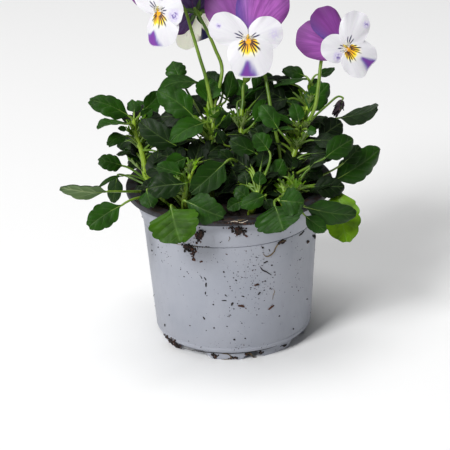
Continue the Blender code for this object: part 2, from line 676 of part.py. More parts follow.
def petal(name, frame, shape, size, finish):
    """Make one petal as a closed blade that spreads from the flower's throat.

    frame is the flower's place and axes, and shape one line of the petals' table.
    """
    heart, right, up, face = frame
    angle, length, width, rise, back, notch = shape
    along = right * math.cos(math.radians(angle)) + up * math.sin(math.radians(angle))
    across = face.cross(along)
    columns = PETAL_COLUMNS
    layer = []
    for row in PETAL_ROWS:
        widening = math.sin(math.pi / 2 * min(1.0, row / 0.62)) ** 1.1
        spread = THROAT_SPREAD + (1.0 - THROAT_SPREAD) * widening
        if row > 0.7:
            spread *= 0.86
        for column in range(columns):
            s = -1.0 + 2.0 * column / (columns - 1)
            corner = ROUNDING * row * abs(s) ** 2.2
            dip = notch * row * (1 - abs(s))
            reach = length * size * row * (1.0 - corner - dip) - PETAL_OVERLAP
            depth = rise - back * row * row + WAVE * row * math.sin(3.1 * s + angle)
            layer.append(heart + along * reach + across * (s * spread * width * size / 2)
                         + face * depth)
    count = len(layer)
    points = [point + face * PETAL / 2 for point in layer]
    points += [point - face * PETAL / 2 for point in layer]
    faces = []
    for row in range(len(PETAL_ROWS) - 1):
        for column in range(columns - 1):
            a = row * columns + column
            b = a + 1
            c = b + columns
            d = a + columns
            faces += [(a, b, c), (a, c, d)]
            faces += [(a + count, c + count, b + count), (a + count, d + count, c + count)]
    loop = list(range(columns))
    loop += [row * columns + columns - 1 for row in range(1, len(PETAL_ROWS))]
    loop += [count - 1 - column for column in range(1, columns)]
    loop += [row * columns for row in range(len(PETAL_ROWS) - 2, 0, -1)]
    for a, b in zip(loop, loop[1:] + loop[:1]):
        faces.append((a, b, b + count))
        faces.append((a, b + count, a + count))
    return mesh_object(name, points, faces, finish)


def build_bloom(name):
    """Make a flower: two violet petals behind three white ones, and its yellow heart."""
    place, facing, upward, size = BLOOMS[name]
    frame = (seen(place), *flower_axes(facing, upward))
    for layer, shapes, finish in (("upper", UPPER_PETALS, "violet_petal"),
                                  ("lower", LOWER_PETALS, "white_petal")):
        petals = []
        for part, shape in shapes.items():
            petals.append(petal(f"{name}_{part}", frame, shape, size, finish))
        fuse(f"{name}_{layer}_petals", petals, finish)
    heart, right, up, face = frame
    dome = [heart + face * ahead for ahead, radius in EYE_DOME]
    tube(name + "_eye", dome, [radius for _, radius in EYE_DOME], 6, "eye")


def build_withered_flower():
    """Make the shrivelled flower that hangs just under the end of its stalk."""
    right, up, near = FLOWER_STALKS["withered_flower"][2][-1]
    top = seen((right, up - WITHERED_GAP, near))
    end = seen((right + WITHERED_HANG[0], up - WITHERED_GAP + WITHERED_HANG[1], near))
    course = [top.lerp(end, share) for share, radius in WITHERED]
    tube("withered_flower", course, [radius for _, radius in WITHERED], 7, "withered")


def back_shoot(name, plan):
    """Make one leafy shoot behind the others, its leaves set round it by the golden angle."""
    x, y, height, lean, count, first, seed = plan
    draw = random.Random(seed)
    outward = Vector((x, y, 0.0)).normalized()
    start = [Vector((x, y, SOIL_TOP - HOLE_DEPTH)), Vector((x, y, SOIL_TOP + SOIL_LUMP))]
    rise = start[1:]
    for step in (0.4, 0.75, 1.0):
        rise.append(start[1] + outward * (lean * height * step * step) + Vector((0, 0, height * step)))
    stem, course = build_stem(name + "_stem", start, rise)
    pieces = [stem]
    for index in range(count):
        share = 0.12 + 0.86 * index / (count - 1)
        turn = math.radians(first + GOLDEN_TURN * index)
        spread = Vector((math.cos(turn), math.sin(turn), 0.0))
        root = along_course(course, share)
        climb = CLIMB[0] + CLIMB[1] * share + draw.uniform(-0.1, 0.1)
        reach = STALK_REACH[0] + STALK_REACH[1] * share + draw.uniform(-2.0, 2.0)
        length = BLADE_LENGTH[0] + BLADE_LENGTH[1] * share + draw.uniform(-2.0, 2.0)
        heel = root + (spread + Vector((0, 0, climb))).normalized() * reach
        tip = heel + (spread + Vector((0, 0, climb - BLADE_DROOP))).normalized() * length
        width = length * draw.uniform(*BLADE_SHAPE)
        roll = draw.uniform(-BLADE_ROLL, BLADE_ROLL)
        face = Vector((0, 0, 1)) + spread * 0.4
        pieces.append(leaf(f"{name}_leaf_{index}", root, heel, tip, width, roll, BLADE_BOW, face))
    return pieces


def pot_profile():
    """Return the pot's section as (radius, height), outside from the base, then inside."""
    top = POT_HEIGHT
    band = top - RIM_BAND
    base = FOOT_HEIGHT
    return [
        (FOOT_INSIDE, base), (FOOT_OUTSIDE, base), (BASE_RADIUS, base + BASE_ROUND),
        (GROOVE_RADIUS, GROOVE_HEIGHT), (GROOVE_RADIUS + 0.5, GROOVE_HEIGHT + COLLAR_STEP),
        (COLLAR_RADIUS, COLLAR_BOTTOM), (COLLAR_RADIUS, top - RIM_UNDERCUT),
        (RIM_RADIUS - RIM_UNDERCUT, top - RIM_UNDERCUT), (RIM_RADIUS - RIM_UNDERCUT, band),
        (RIM_RADIUS, band), (RIM_RADIUS, top), (COLLAR_RADIUS - WALL, top),
        (COLLAR_RADIUS - WALL, COLLAR_BOTTOM + WALL_SHIFT),
        (GROOVE_RADIUS - WALL, GROOVE_HEIGHT),
        (BASE_RADIUS - WALL, base + WALL),
    ]


def build_pot():
    """Turn the pot's wall round its axis, then add its feet and its drain holes."""
    profile = pot_profile()
    points = []
    faces = []
    rows = len(profile)
    for radius, height in profile:
        for segment in range(SEGMENTS):
            turn = math.tau * segment / SEGMENTS + math.radians(FOOT_PHASE)
            points.append(Vector((radius * math.cos(turn), radius * math.sin(turn), height)))
    for row in range(rows - 1):
        for segment in range(SEGMENTS):
            a = row * SEGMENTS + segment
            b = row * SEGMENTS + (segment + 1) % SEGMENTS
            faces.append((a, b, b + SEGMENTS, a + SEGMENTS))
    under = len(points)
    points.append(Vector((0, 0, FOOT_HEIGHT)))
    points.append(Vector((0, 0, FOOT_HEIGHT + WALL)))
    last = (rows - 1) * SEGMENTS
    for segment in range(SEGMENTS):
        after = (segment + 1) % SEGMENTS
        faces.append((under, after, segment))
        faces.append((under + 1, last + segment, last + after))
    pot = mesh_object("pot", points, faces, "pot")
    add_feet(pot)
    cut_drain_holes(pot)
    return pot


def add_feet(pot):
    """Draw the base's outer ring down in eight arcs, with a slope at each end."""
    per_foot = SEGMENTS // FOOT_COUNT
    work = bmesh.new()
    work.from_mesh(pot.data)
    chosen = []
    for face in work.faces:
        middle = face.calc_center_median() / MM
        radius = math.hypot(middle.x, middle.y)
        if abs(middle.z - FOOT_HEIGHT) > 0.01 or not FOOT_INSIDE < radius < FOOT_OUTSIDE:
            continue
        turn = math.degrees(math.atan2(middle.y, middle.x)) - FOOT_PHASE
        if int(turn % 360.0 * SEGMENTS / 360.0) % per_foot < per_foot - 1:
            chosen.append(face)
    drawn = bmesh.ops.extrude_face_region(work, geom=chosen)
    moved = [item for item in drawn["geom"] if isinstance(item, bmesh.types.BMVert)]
    bmesh.ops.delete(work, geom=chosen, context="FACES")
    for vert in moved:
        radius = math.hypot(vert.co.x, vert.co.y) / MM
        turn = math.degrees(math.atan2(vert.co.y, vert.co.x)) - FOOT_PHASE
        segment = round(turn % 360.0 * SEGMENTS / 360.0) % per_foot
        slope = {0: FOOT_SLOPE, per_foot - 1: -FOOT_SLOPE}.get(segment, 0.0)
        turned = math.atan2(vert.co.y, vert.co.x) + math.radians(slope)
        outer = radius > (FOOT_INSIDE + FOOT_OUTSIDE) / 2
        radius = radius - FOOT_NARROWING[1] if outer else radius + FOOT_NARROWING[0]
        vert.co = Vector((radius * math.cos(turned), radius * math.sin(turned), 0.0)) * MM
    bmesh.ops.recalc_face_normals(work, faces=work.faces)
    work.to_mesh(pot.data)
    work.free()


def cut_drain_holes(pot):
    """Cut a ring of round holes through the pot's base."""
    for hole in range(DRAIN_COUNT):
        turn = math.tau * hole / DRAIN_COUNT + math.radians(FOOT_PHASE)
        middle = Vector((DRAIN_CIRCLE * math.cos(turn), DRAIN_CIRCLE * math.sin(turn), 0))
        low = middle + Vector((0, 0, FOOT_HEIGHT - 2))
        high = middle + Vector((0, 0, FOOT_HEIGHT + WALL + 2))
        cutter = tube(f"drain_cutter_{hole}", [low, high], [DRAIN_RADIUS] * 2, 8, "pot")
        cut(pot, cutter)


def cut(body, cutter):
    """Cut one closed shape out of a body."""
    hole = body.modifiers.new("hole", "BOOLEAN")
    hole.operation = "DIFFERENCE"
    hole.object = cutter
    hole.solver = "EXACT"
    with bpy.context.temp_override(object=body, active_object=body, selected_objects=[body]):
        bpy.ops.object.modifier_apply(modifier=hole.name)
    bpy.data.objects.remove(cutter)


def build_soil():
    """Make the plug of soil, lumpy on top, with a plain hole for each stem."""
    base = FOOT_HEIGHT + WALL + GAP
    inner = GROOVE_RADIUS - WALL - GAP
    low = BASE_RADIUS - WALL - GAP - 0.2
    top = COLLAR_RADIUS - WALL - GAP - 0.3
    sides = [(low, base + BASE_ROUND), (inner, GROOVE_HEIGHT),
             (top - 0.2, COLLAR_BOTTOM + WALL_SHIFT)]
    sectors = SOIL_SIDES
    points = []
    faces = []
    for radius, height in sides:
        for sector in range(sectors):
            turn = math.tau * sector / sectors
            points.append(Vector((radius * math.cos(turn), radius * math.sin(turn), height)))
    for share in SOIL_RINGS:
        radius = top * share
        for sector in range(sectors):
            turn = math.tau * sector / sectors
            x = radius * math.cos(turn)
            y = radius * math.sin(turn)
            lump = noise.noise(Vector((x, y, 7.0)) * LUMP_SCALE) * SOIL_LUMP * 0.8
            crown = 0.0 if share == 1.0 else SOIL_CROWN
            points.append(Vector((x, y, SOIL_TOP - 1.0 + crown + lump)))
    rings = len(sides) + len(SOIL_RINGS)
    for ring in range(rings - 1):
        for sector in range(sectors):
            a = ring * sectors + sector
            b = ring * sectors + (sector + 1) % sectors
            faces.append((a, b, b + sectors, a + sectors))
    middle = len(points)
    points.append(Vector((0, 0, base + BASE_ROUND)))
    points.append(Vector((0, 0, SOIL_TOP - 0.4)))
    last = (rings - 1) * sectors
    for sector in range(sectors):
        after = (sector + 1) % sectors
        faces.append((middle, after, sector))
        faces.append((middle + 1, last + sector, last + after))
    soil = mesh_object("soil", points, faces, "soil")
    feet = [plan["foot"] for plan in SHOOTS.values()]
    feet += [(plan[0], plan[1]) for plan in BACK_SHOOTS.values()]
    for index, (x, y) in enumerate(feet):
        low = Vector((x, y, SOIL_TOP - HOLE_DEPTH - GAP))
        high = Vector((x, y, SOIL_TOP + 6))
        radius = STEM_RADIUS + HOLE_MARGIN
        cutter = tube(f"hole_cutter_{index}", [low, high], [radius] * 2, HOLE_SIDES, "soil")
        cut(soil, cutter)
    return soil


def build_plant():
    """Make the pot, the soil, the shoots and the flowers."""
    build_pot()
    build_soil()
    for name, plan in SHOOTS.items():
        fuse(name, front_shoot(name, plan), "leaf")
    for name, plan in BACK_SHOOTS.items():
        fuse(name, back_shoot(name, plan), "leaf")
    for name in BLOOMS:
        build_bloom(name)
    build_withered_flower()
    for thing in bpy.context.scene.objects:
        thing.data.shade_smooth()
        thing.data.set_sharp_from_angle(angle=SHARP_ANGLE)


clear_scene()
build_plant()
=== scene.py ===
# %% [markdown]
# # A potted horned violet
#
# This lesson gives a small potted plant its looks. The plain solids of the plant are loaded
# first. They fix where every piece stands and how big it is. Each cell then makes one thing
# as a grower or a potter would name it: the pot, the soil, a leaf, a stalk, a petal. Lengths
# are written in millimetres, and MM turns them into metres.

# %% Load the plain model
import json
import math
import random

import bpy
import numpy as np
from mathutils import Matrix, Vector, noise

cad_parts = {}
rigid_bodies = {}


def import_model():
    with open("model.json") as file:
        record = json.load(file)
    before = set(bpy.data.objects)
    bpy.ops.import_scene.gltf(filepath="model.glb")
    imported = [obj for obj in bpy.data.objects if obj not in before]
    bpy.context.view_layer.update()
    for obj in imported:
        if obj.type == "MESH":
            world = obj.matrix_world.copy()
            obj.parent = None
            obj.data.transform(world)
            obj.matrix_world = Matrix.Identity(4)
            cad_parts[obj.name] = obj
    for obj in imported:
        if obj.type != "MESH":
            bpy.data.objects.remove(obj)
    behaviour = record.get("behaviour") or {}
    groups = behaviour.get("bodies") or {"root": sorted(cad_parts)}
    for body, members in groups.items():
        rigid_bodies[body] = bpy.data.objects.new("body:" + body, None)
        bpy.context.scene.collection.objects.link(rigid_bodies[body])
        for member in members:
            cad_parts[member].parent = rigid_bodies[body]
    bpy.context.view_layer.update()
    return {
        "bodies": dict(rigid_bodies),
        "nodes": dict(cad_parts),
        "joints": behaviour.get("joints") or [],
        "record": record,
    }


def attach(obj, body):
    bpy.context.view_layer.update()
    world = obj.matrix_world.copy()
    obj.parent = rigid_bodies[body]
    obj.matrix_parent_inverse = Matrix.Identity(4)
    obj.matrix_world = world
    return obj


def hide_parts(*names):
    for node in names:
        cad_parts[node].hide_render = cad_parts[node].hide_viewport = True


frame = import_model()
MM = 0.001

# %% [markdown]
# Operators work on whatever is selected, and loading leaves everything selected. So one
# helper deselects all and then chooses, and every later step starts with it. A finished
# piece has its place in its mesh, rides on the one body of the model and hides the plain
# nodes that it stands for. Leaves and petals start as sheets without thickness, so a helper
# gives a sheet its two sides, each with a finish of its own.

# %% Choose, join, thicken and finish pieces
def choose(*things):
    """Select only the given objects, and make the first one active."""
    bpy.ops.object.select_all(action="DESELECT")
    for thing in things:
        thing.select_set(True)
    bpy.context.view_layer.objects.active = things[0]


def apply_modifiers(thing):
    """Apply an object's modifiers in their order."""
    choose(thing)
    for modifier in list(thing.modifiers):
        bpy.ops.object.modifier_apply(modifier=modifier.name)


def thicken(sheet, thickness):
    """Give a sheet its thickness in millimetres, with its second finish on the back."""
    walls = sheet.modifiers.new("thickness", "SOLIDIFY")
    walls.thickness = thickness * MM
    walls.offset = 0.0
    walls.material_offset = 1
    walls.use_even_offset = False
    apply_modifiers(sheet)


def smooth(thing, degrees):
    """Shade an object smoothly, except at edges that bend more than so many degrees."""
    choose(thing)
    bpy.ops.object.shade_smooth_by_angle(angle=math.radians(degrees))


def joined(name, things):
    """Join objects in one, which keeps each one's materials, and give it a name."""
    choose(*things)
    if len(things) > 1:
        bpy.ops.object.join()
    things[0].name = name
    things[0].data.name = name
    return things[0]


def copied(master):
    """Return a copy of an object, with a mesh of its own."""
    twin = master.copy()
    twin.data = master.data.copy()
    bpy.context.scene.collection.objects.link(twin)
    return twin


def finish_piece(piece, slot, *nodes):
    """Fix a piece's place in its mesh and tie it to the plain model."""
    choose(piece)
    bpy.ops.object.transform_apply(location=True, rotation=True, scale=True)
    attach(piece, "root")
    if nodes:
        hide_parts(*nodes)
    triangles = sum(len(face.vertices) - 2 for face in piece.data.polygons)
    print(piece.name, "has", triangles, "triangles")


# %% [markdown]
# The plant was measured as someone sees it who looks down at the pot from the front. A place
# is therefore written as (right, up, near): millimetres across and up on a plane that faces
# the eye, and millimetres towards the eye. The same rule set out the plain model, so leaves
# and flowers land where its solids are.

# %% The layout's line of sight
POT_HEIGHT = 83.0
EYE_TILT = math.radians(23.4)
EYE_LEAN = math.radians(-2.06)
EYE_DISTANCE = 752.8
PLANE_DISTANCE = 740.5
RIM_RIGHT = 2.1
RIM_UP = 23.0

FORWARD = Vector((0.0, math.cos(EYE_TILT), -math.sin(EYE_TILT)))
TO_EYE = -FORWARD
LEVEL_RIGHT = Vector((1.0, 0.0, 0.0))
LEVEL_UP = LEVEL_RIGHT.cross(FORWARD)
EYE_RIGHT = LEVEL_RIGHT * math.cos(EYE_LEAN) + LEVEL_UP * math.sin(EYE_LEAN)
EYE_UP = LEVEL_UP * math.cos(EYE_LEAN) - LEVEL_RIGHT * math.sin(EYE_LEAN)
LAYOUT_CENTRE = Vector((0.0, 0.0, POT_HEIGHT)) - EYE_RIGHT * RIM_RIGHT - EYE_UP * RIM_UP


def seen(place):
    """Turn a layout place into a point of the model, in millimetres."""
    right, up, near = place
    spread = (EYE_DISTANCE - near) / PLANE_DISTANCE
    return LAYOUT_CENTRE + EYE_RIGHT * right * spread + EYE_UP * up * spread + TO_EYE * near


print("the rim's centre is at", [round(value, 1) for value in seen((RIM_RIGHT, RIM_UP, 0))])

# %% [markdown]
# The camera stands where the eye of the layout is, with a long lens, because the rim's
# ellipse in the picture is flat and the wall's sides run almost parallel. The floor and the
# light are plain and pale, so nothing competes with the plant: a large soft light from the
# upper left gives the pot its bright left side, and the sky fills the shadows.

# %% Camera, floor and light
CAMERA_PLACE = Vector((0.0, -0.700, 0.361))
CAMERA_YAW = math.radians(-0.24)
CAMERA_LENS = 118.5
SENSOR_WIDTH = 36.0
LIGHT_TARGET = Vector((0.0, 0.0, 0.09))
SKY_STRENGTH = 0.13
FLOOR_SIZE = 12.0
FLOOR_WHITE = (0.96, 0.96, 0.96, 1.0)


def set_up_camera():
    """Put the camera at the layout's eye, turned and leaned as the picture is."""
    ahead = Vector((math.sin(CAMERA_YAW) * math.cos(EYE_TILT),
                    math.cos(CAMERA_YAW) * math.cos(EYE_TILT), -math.sin(EYE_TILT)))
    level = ahead.cross(Vector((0, 0, 1))).normalized()
    upright = level.cross(ahead)
    right = level * math.cos(EYE_LEAN) + upright * math.sin(EYE_LEAN)
    up = upright * math.cos(EYE_LEAN) - level * math.sin(EYE_LEAN)
    bpy.ops.object.camera_add()
    camera = bpy.context.object
    camera.matrix_world = Matrix((right, up, -ahead)).transposed().to_4x4()
    camera.location = CAMERA_PLACE
    camera.data.lens = CAMERA_LENS
    camera.data.sensor_width = SENSOR_WIDTH
    bpy.context.scene.camera = camera


def add_light(name, place, size, power):
    """Add a square soft light that faces the plant."""
    bpy.ops.object.light_add(type="AREA", location=place)
    light = bpy.context.object
    light.name = name
    light.data.size = size
    light.data.energy = power
    light.rotation_euler = (LIGHT_TARGET - Vector(place)).to_track_quat("-Z", "Y").to_euler()


def set_up_sky():
    """Light the scene evenly from all round with white, and show colours as they are."""
    world = bpy.data.worlds.new("studio")
    world.use_nodes = True
    sky = world.node_tree.nodes["Background"]
    sky.inputs["Color"].default_value = (1.0, 1.0, 1.0, 1.0)
    sky.inputs["Strength"].default_value = SKY_STRENGTH
    bpy.context.scene.world = world
    bpy.context.scene.view_settings.view_transform = "Standard"


def lay_floor():
    """Lay the pale floor that the pot stands on."""
    bpy.ops.mesh.primitive_plane_add(size=FLOOR_SIZE, location=(0, 0, 0))
    floor = bpy.context.object
    floor.name = "floor"
    paper = bpy.data.materials.new("floor_paper")
    paper.use_nodes = True
    shader = paper.node_tree.nodes["Principled BSDF"]
    shader.inputs["Base Color"].default_value = FLOOR_WHITE
    shader.inputs["Roughness"].default_value = 0.9
    floor.data.materials.append(paper)


set_up_camera()
set_up_sky()
add_light("key", (-1.65, -1.95, 2.2), 1.0, 90.0)
add_light("top", (-0.2, 0.2, 2.6), 1.6, 32.0)
lay_floor()
print("camera at", list(CAMERA_PLACE), "lens", CAMERA_LENS)

# %% [markdown]
# Most finishes here are made from the same few nodes: noise, a soft step, and a mix of two
# colours. A small class keeps them short. Colours are written as screen colours and turned
# into the linear values that a shader wants.

# %% Short ways to write a finish
def tint(code):
    """Turn a screen colour such as #a9adb9 into linear red, green, blue and alpha."""
    parts = [int(code[index:index + 2], 16) / 255 for index in (1, 3, 5)]
    linear = [value / 12.92 if value <= 0.04045 else ((value + 0.055) / 1.055) ** 2.4
              for value in parts]
    return (*linear, 1.0)


class Finish:
    """A material, with short ways to add the nodes that it is made from."""

    def __init__(self, name, roughness, colour="#808080"):
        self.material = bpy.data.materials.new(name)
        self.material.use_nodes = True
        self.nodes = self.material.node_tree.nodes
        self.links = self.material.node_tree.links
        self.shader = self.nodes["Principled BSDF"]
        self.set("Roughness", roughness)
        self.set("Base Color", colour)

    def put(self, value, socket):
        """Link a socket to an input, or set the input to a plain value."""
        if isinstance(value, bpy.types.NodeSocket):
            self.links.new(value, socket)
        elif isinstance(value, str):
            socket.default_value = tint(value)
        else:
            socket.default_value = value

    def set(self, name, value):
        """Link a socket to one of the shader's own inputs, or give that input a plain value."""
        self.put(value, self.shader.inputs[name])

    def number(self, operation, first, second=0.0):
        """Work out one number from two."""
        node = self.nodes.new("ShaderNodeMath")
        node.operation = operation
        self.put(first, node.inputs[0])
        self.put(second, node.inputs[1])
        return node.outputs[0]

    def times(self, first, second):
        """Multiply two numbers."""
        return self.number("MULTIPLY", first, second)

    def minus(self, first, second):
        """Take the second number away from the first."""
        return self.number("SUBTRACT", first, second)

    def step(self, value, start, end, low=0.0, high=1.0):
        """Rise softly from low to high while the value goes from start to end."""
        node = self.nodes.new("ShaderNodeMapRange")
        node.interpolation_type = "SMOOTHSTEP"
        self.put(value, node.inputs["Value"])
        node.inputs["From Min"].default_value = start
        node.inputs["From Max"].default_value = end
        node.inputs["To Min"].default_value = low
        node.inputs["To Max"].default_value = high
        return node.outputs["Result"]

    def mix(self, share, first, second):
        """Mix two colours."""
        node = self.nodes.new("ShaderNodeMix")
        node.data_type = "RGBA"
        self.put(share, node.inputs["Factor"])
        self.put(first, node.inputs[6])
        self.put(second, node.inputs[7])
        return node.outputs[2]

    def place(self, scale=(1.0, 1.0, 1.0), source="Object"):
        """Give the surface's own coordinates, stretched along X, Y and Z."""
        where = self.nodes.new("ShaderNodeTexCoord")
        node = self.nodes.new("ShaderNodeMapping")
        node.inputs["Scale"].default_value = scale
        self.links.new(where.outputs[source], node.inputs["Vector"])
        return node.outputs["Vector"]

    def noise(self, where, scale, detail=3.0, roughness=0.55):
        """Give a cloudy number between 0 and 1."""
        node = self.nodes.new("ShaderNodeTexNoise")
        node.inputs["Scale"].default_value = scale
        node.inputs["Detail"].default_value = detail
        node.inputs["Roughness"].default_value = roughness
        self.links.new(where, node.inputs["Vector"])
        return node.outputs["Fac"]

    def across_and_along(self):
        """Give the piece's own map: -1 to 1 across it, and 0 to 1 along it."""
        where = self.nodes.new("ShaderNodeTexCoord")
        node = self.nodes.new("ShaderNodeSeparateXYZ")
        self.links.new(where.outputs["UV"], node.inputs["Vector"])
        across = self.times(self.minus(node.outputs["X"], 0.5), 2.0)
        return across, node.outputs["Y"]

    def attribute(self, name):
        """Read a number that each leaf or petal carries."""
        node = self.nodes.new("ShaderNodeAttribute")
        node.attribute_name = name
        return node.outputs["Fac"]

    def relief(self, height, depth, distance):
        """Raise the surface where a number is high."""
        node = self.nodes.new("ShaderNodeBump")
        node.inputs["Strength"].default_value = depth
        node.inputs["Distance"].default_value = distance
        self.links.new(height, node.inputs["Height"])
        self.links.new(node.outputs["Normal"], self.shader.inputs["Normal"])


print("the screen colour #808080 is", round(tint("#808080")[0], 3), "in linear light")

# %% [markdown]
# ## The pot
# The real pot is pressed from a thin sheet of plastic: light blue-grey outside, dark grey
# inside and on its rim. It could be a spun profile, but here a ring of edges is drawn up
# like clay, one extrusion for each height, because that keeps every ring even and leaves the
# feet easy to find. The ring starts on the inner side of the feet, goes out under the base,
# climbs the wall, turns over the rim and goes down inside.

# %% Draw the pot's wall from one ring
RIM_RADIUS = 52.5
RIM_BAND = 3.2
WALL = 1.1
COLLAR_RADIUS = 47.2
GROOVE_RADIUS = 44.6
BASE_RADIUS = 40.7
FOOT_HEIGHT = 5.0
FOOT_INSIDE = 30.0
FOOT_OUTSIDE = 38.6
POT_SEGMENTS = 160
RIM_HEIGHT = POT_HEIGHT - RIM_BAND

OUTSIDE = [
    (FOOT_OUTSIDE, FOOT_HEIGHT), (40.1, 5.15), (BASE_RADIUS, 5.9), (40.75, 7.2), (40.5, 7.7),
    (40.85, 8.3), (42.6, 35.0), (44.3, 60.0), (GROOVE_RADIUS, 64.6), (44.58, 65.0),
    (44.2, 65.1), (44.2, 65.4), (44.75, 65.5), (44.95, 66.2), (45.7, 69.0), (46.6, 71.8),
    (47.05, 73.4),
    (COLLAR_RADIUS, 75.0), (COLLAR_RADIUS, 79.2), (47.6, 79.75), (48.6, RIM_HEIGHT),
    (51.9, RIM_HEIGHT), (52.35, 80.0), (RIM_RADIUS, 80.4),
]
OVER_THE_RIM = [
    (RIM_RADIUS, 82.2), (52.3, 82.75), (51.8, POT_HEIGHT), (47.6, POT_HEIGHT), (46.6, 82.7),
    (46.15, 82.0),
]
INSIDE = [
    (COLLAR_RADIUS - WALL, 75.0), (45.3, 71.0), (GROOVE_RADIUS - WALL, 65.0),
    (BASE_RADIUS - WALL, 7.4), (39.0, FOOT_HEIGHT + WALL),
]


def draw_ring(radius, height, old_radius, old_height):
    """Extrude the selected ring to a new radius and height."""
    rise = (0.0, 0.0, (height - old_height) * MM)
    bpy.ops.mesh.extrude_region_move(TRANSFORM_OT_translate={"value": rise})
    grow = radius / old_radius
    bpy.ops.transform.resize(value=(grow, grow, 1.0), center_override=(0.0, 0.0, height * MM))


def make_pot_wall():
    """Draw the wall up, over the rim and down, then close the floor on both sides."""
    bpy.ops.object.select_all(action="DESELECT")
    start = (FOOT_INSIDE, FOOT_HEIGHT)
    bpy.ops.mesh.primitive_circle_add(vertices=POT_SEGMENTS, radius=start[0] * MM,
                                      location=(0.0, 0.0, start[1] * MM))
    pot = bpy.context.object
    bpy.ops.object.transform_apply(location=True, rotation=False, scale=False)
    bpy.ops.object.mode_set(mode="EDIT")
    bpy.ops.mesh.select_all(action="SELECT")
    for ring in OUTSIDE + OVER_THE_RIM + INSIDE:
        draw_ring(*ring, *start)
        start = ring
    bpy.ops.mesh.edge_face_add()
    bpy.ops.mesh.select_all(action="DESELECT")
    bpy.ops.mesh.select_non_manifold()
    bpy.ops.mesh.edge_face_add()
    bpy.ops.mesh.select_all(action="SELECT")
    bpy.ops.mesh.normals_make_consistent(inside=False)
    bpy.ops.object.mode_set(mode="OBJECT")
    return pot


pot = make_pot_wall()
print("pot wall:", len(pot.data.polygons), "faces")

# %% [markdown]
# Eight short feet stand under the base's outer ring, with gaps between them that let water
# out. Where they stand was read off the picture, in degrees from the front to the right, and
# guessed at the back. Each foot has sloping ends, so its ring of faces is drawn down with
# the ends pulled together. The round holes through the floor could be bridged by hand, but a
# Boolean cuts them cleanly and leaves the rings of the wall alone.

# %% Give the pot its feet and drain holes
# how far down each step of a foot reaches, and how far its ends and its sides are drawn in
FOOT_STEPS = ((1.2, 0.9, 0.3), (3.0, 2.7, 0.7), (4.4, 4.6, 1.3), (5.0, 6.0, 2.2))
FOOT_MARGIN = 1.5
INNER_SHARE = 0.6
OUTER_SHARE = -0.3
FEET = ((-25, 12), (16, 51), (65, 100), (107, 142), (152, 187), (197, 232), (240, 267),
        (275, 313))
DRAIN_RADIUS = 2.4
DRAIN_SIDES = 24
DRAIN_CIRCLE = 22.0
DRAIN_COUNT = 4
DRAIN_START = -101.0


def place_in_foot(x, y):
    """Give how far through its foot a point is, from -1 to 1, or None between the feet."""
    turn = math.degrees(math.atan2(x, -y))
    for start, end in FEET:
        half = (end - start) / 2
        off = (turn - start - half + 180.0) % 360.0 - 180.0
        if abs(off) < half + FOOT_MARGIN:
            return off / half
    return None


def select_feet(pot):
    """Select the faces of the base's ring that the feet grow from."""
    for face in pot.data.polygons:
        middle = face.center / MM
        radius = math.hypot(middle.x, middle.y)
        on_ring = FOOT_INSIDE < radius < FOOT_OUTSIDE and abs(middle.z - FOOT_HEIGHT) < 0.01
        share = place_in_foot(middle.x, middle.y)
        face.select = on_ring and share is not None and abs(share) < 1.0


def narrow_feet(pot, ends, sides):
    """Pull the selected faces' ends and sides in by that many millimetres."""
    chosen = {index for face in pot.data.polygons if face.select for index in face.vertices}
    for index in chosen:
        place = pot.data.vertices[index].co
        radius = place.xy.length / MM
        share = place_in_foot(place.x, place.y) or 0.0
        turn = math.atan2(place.y, place.x)
        turn -= math.copysign(abs(share) ** 1.5, share) * ends / radius
        is_inner = radius < (FOOT_INSIDE + FOOT_OUTSIDE) / 2
        radius += sides * (INNER_SHARE if is_inner else OUTER_SHARE)
        place.x = radius * math.cos(turn) * MM
        place.y = radius * math.sin(turn) * MM


def draw_feet(pot):
    """Draw the feet down step by step, each step narrower than the one before."""
    choose(pot)
    bpy.ops.object.mode_set(mode="EDIT")
    bpy.ops.mesh.select_mode(type="FACE")
    bpy.ops.mesh.select_all(action="DESELECT")
    bpy.ops.object.mode_set(mode="OBJECT")
    select_feet(pot)
    before = (0.0, 0.0, 0.0)
    for step in FOOT_STEPS:
        depth, ends, sides = (new - old for new, old in zip(step, before))
        bpy.ops.object.mode_set(mode="EDIT")
        bpy.ops.mesh.extrude_region_move(TRANSFORM_OT_translate={"value": (0, 0, -depth * MM)})
        bpy.ops.object.mode_set(mode="OBJECT")
        narrow_feet(pot, ends, sides)
        before = step


def cut_drains(pot):
    """Cut the round drain holes through the pot's floor."""
    cutters = []
    for hole in range(DRAIN_COUNT):
        turn = math.tau * hole / DRAIN_COUNT + math.radians(DRAIN_START)
        bpy.ops.mesh.primitive_cylinder_add(
            vertices=DRAIN_SIDES, radius=DRAIN_RADIUS * MM, depth=6 * MM,
            location=(DRAIN_CIRCLE * math.cos(turn) * MM, DRAIN_CIRCLE * math.sin(turn) * MM,
                      (FOOT_HEIGHT + WALL / 2) * MM))
        cutters.append(bpy.context.object)
    cutter = joined("drain_cutter", cutters)
    choose(pot)
    holes = pot.modifiers.new("drains", "BOOLEAN")
    holes.object = cutter
    holes.operation = "DIFFERENCE"
    apply_modifiers(pot)
    bpy.data.objects.remove(cutter)


draw_feet(pot)
cut_drains(pot)
print("pot with feet:", len(pot.data.polygons), "faces")

# %% [markdown]
# The sheet isn't perfectly true: it has faint waves that make its shine uneven. The outside
# is dusty and slightly mottled. The rim and the inside are the dark side of the sheet. Waves
# could be faked in the finish, but moving the points bends the outline a little too.

# %% Finish the pot
SHEET_WAVE = 0.16
STEADY_BASE = 9.0
WAVE_GROWTH = 25.0
ROUNDED_EDGE = 0.25


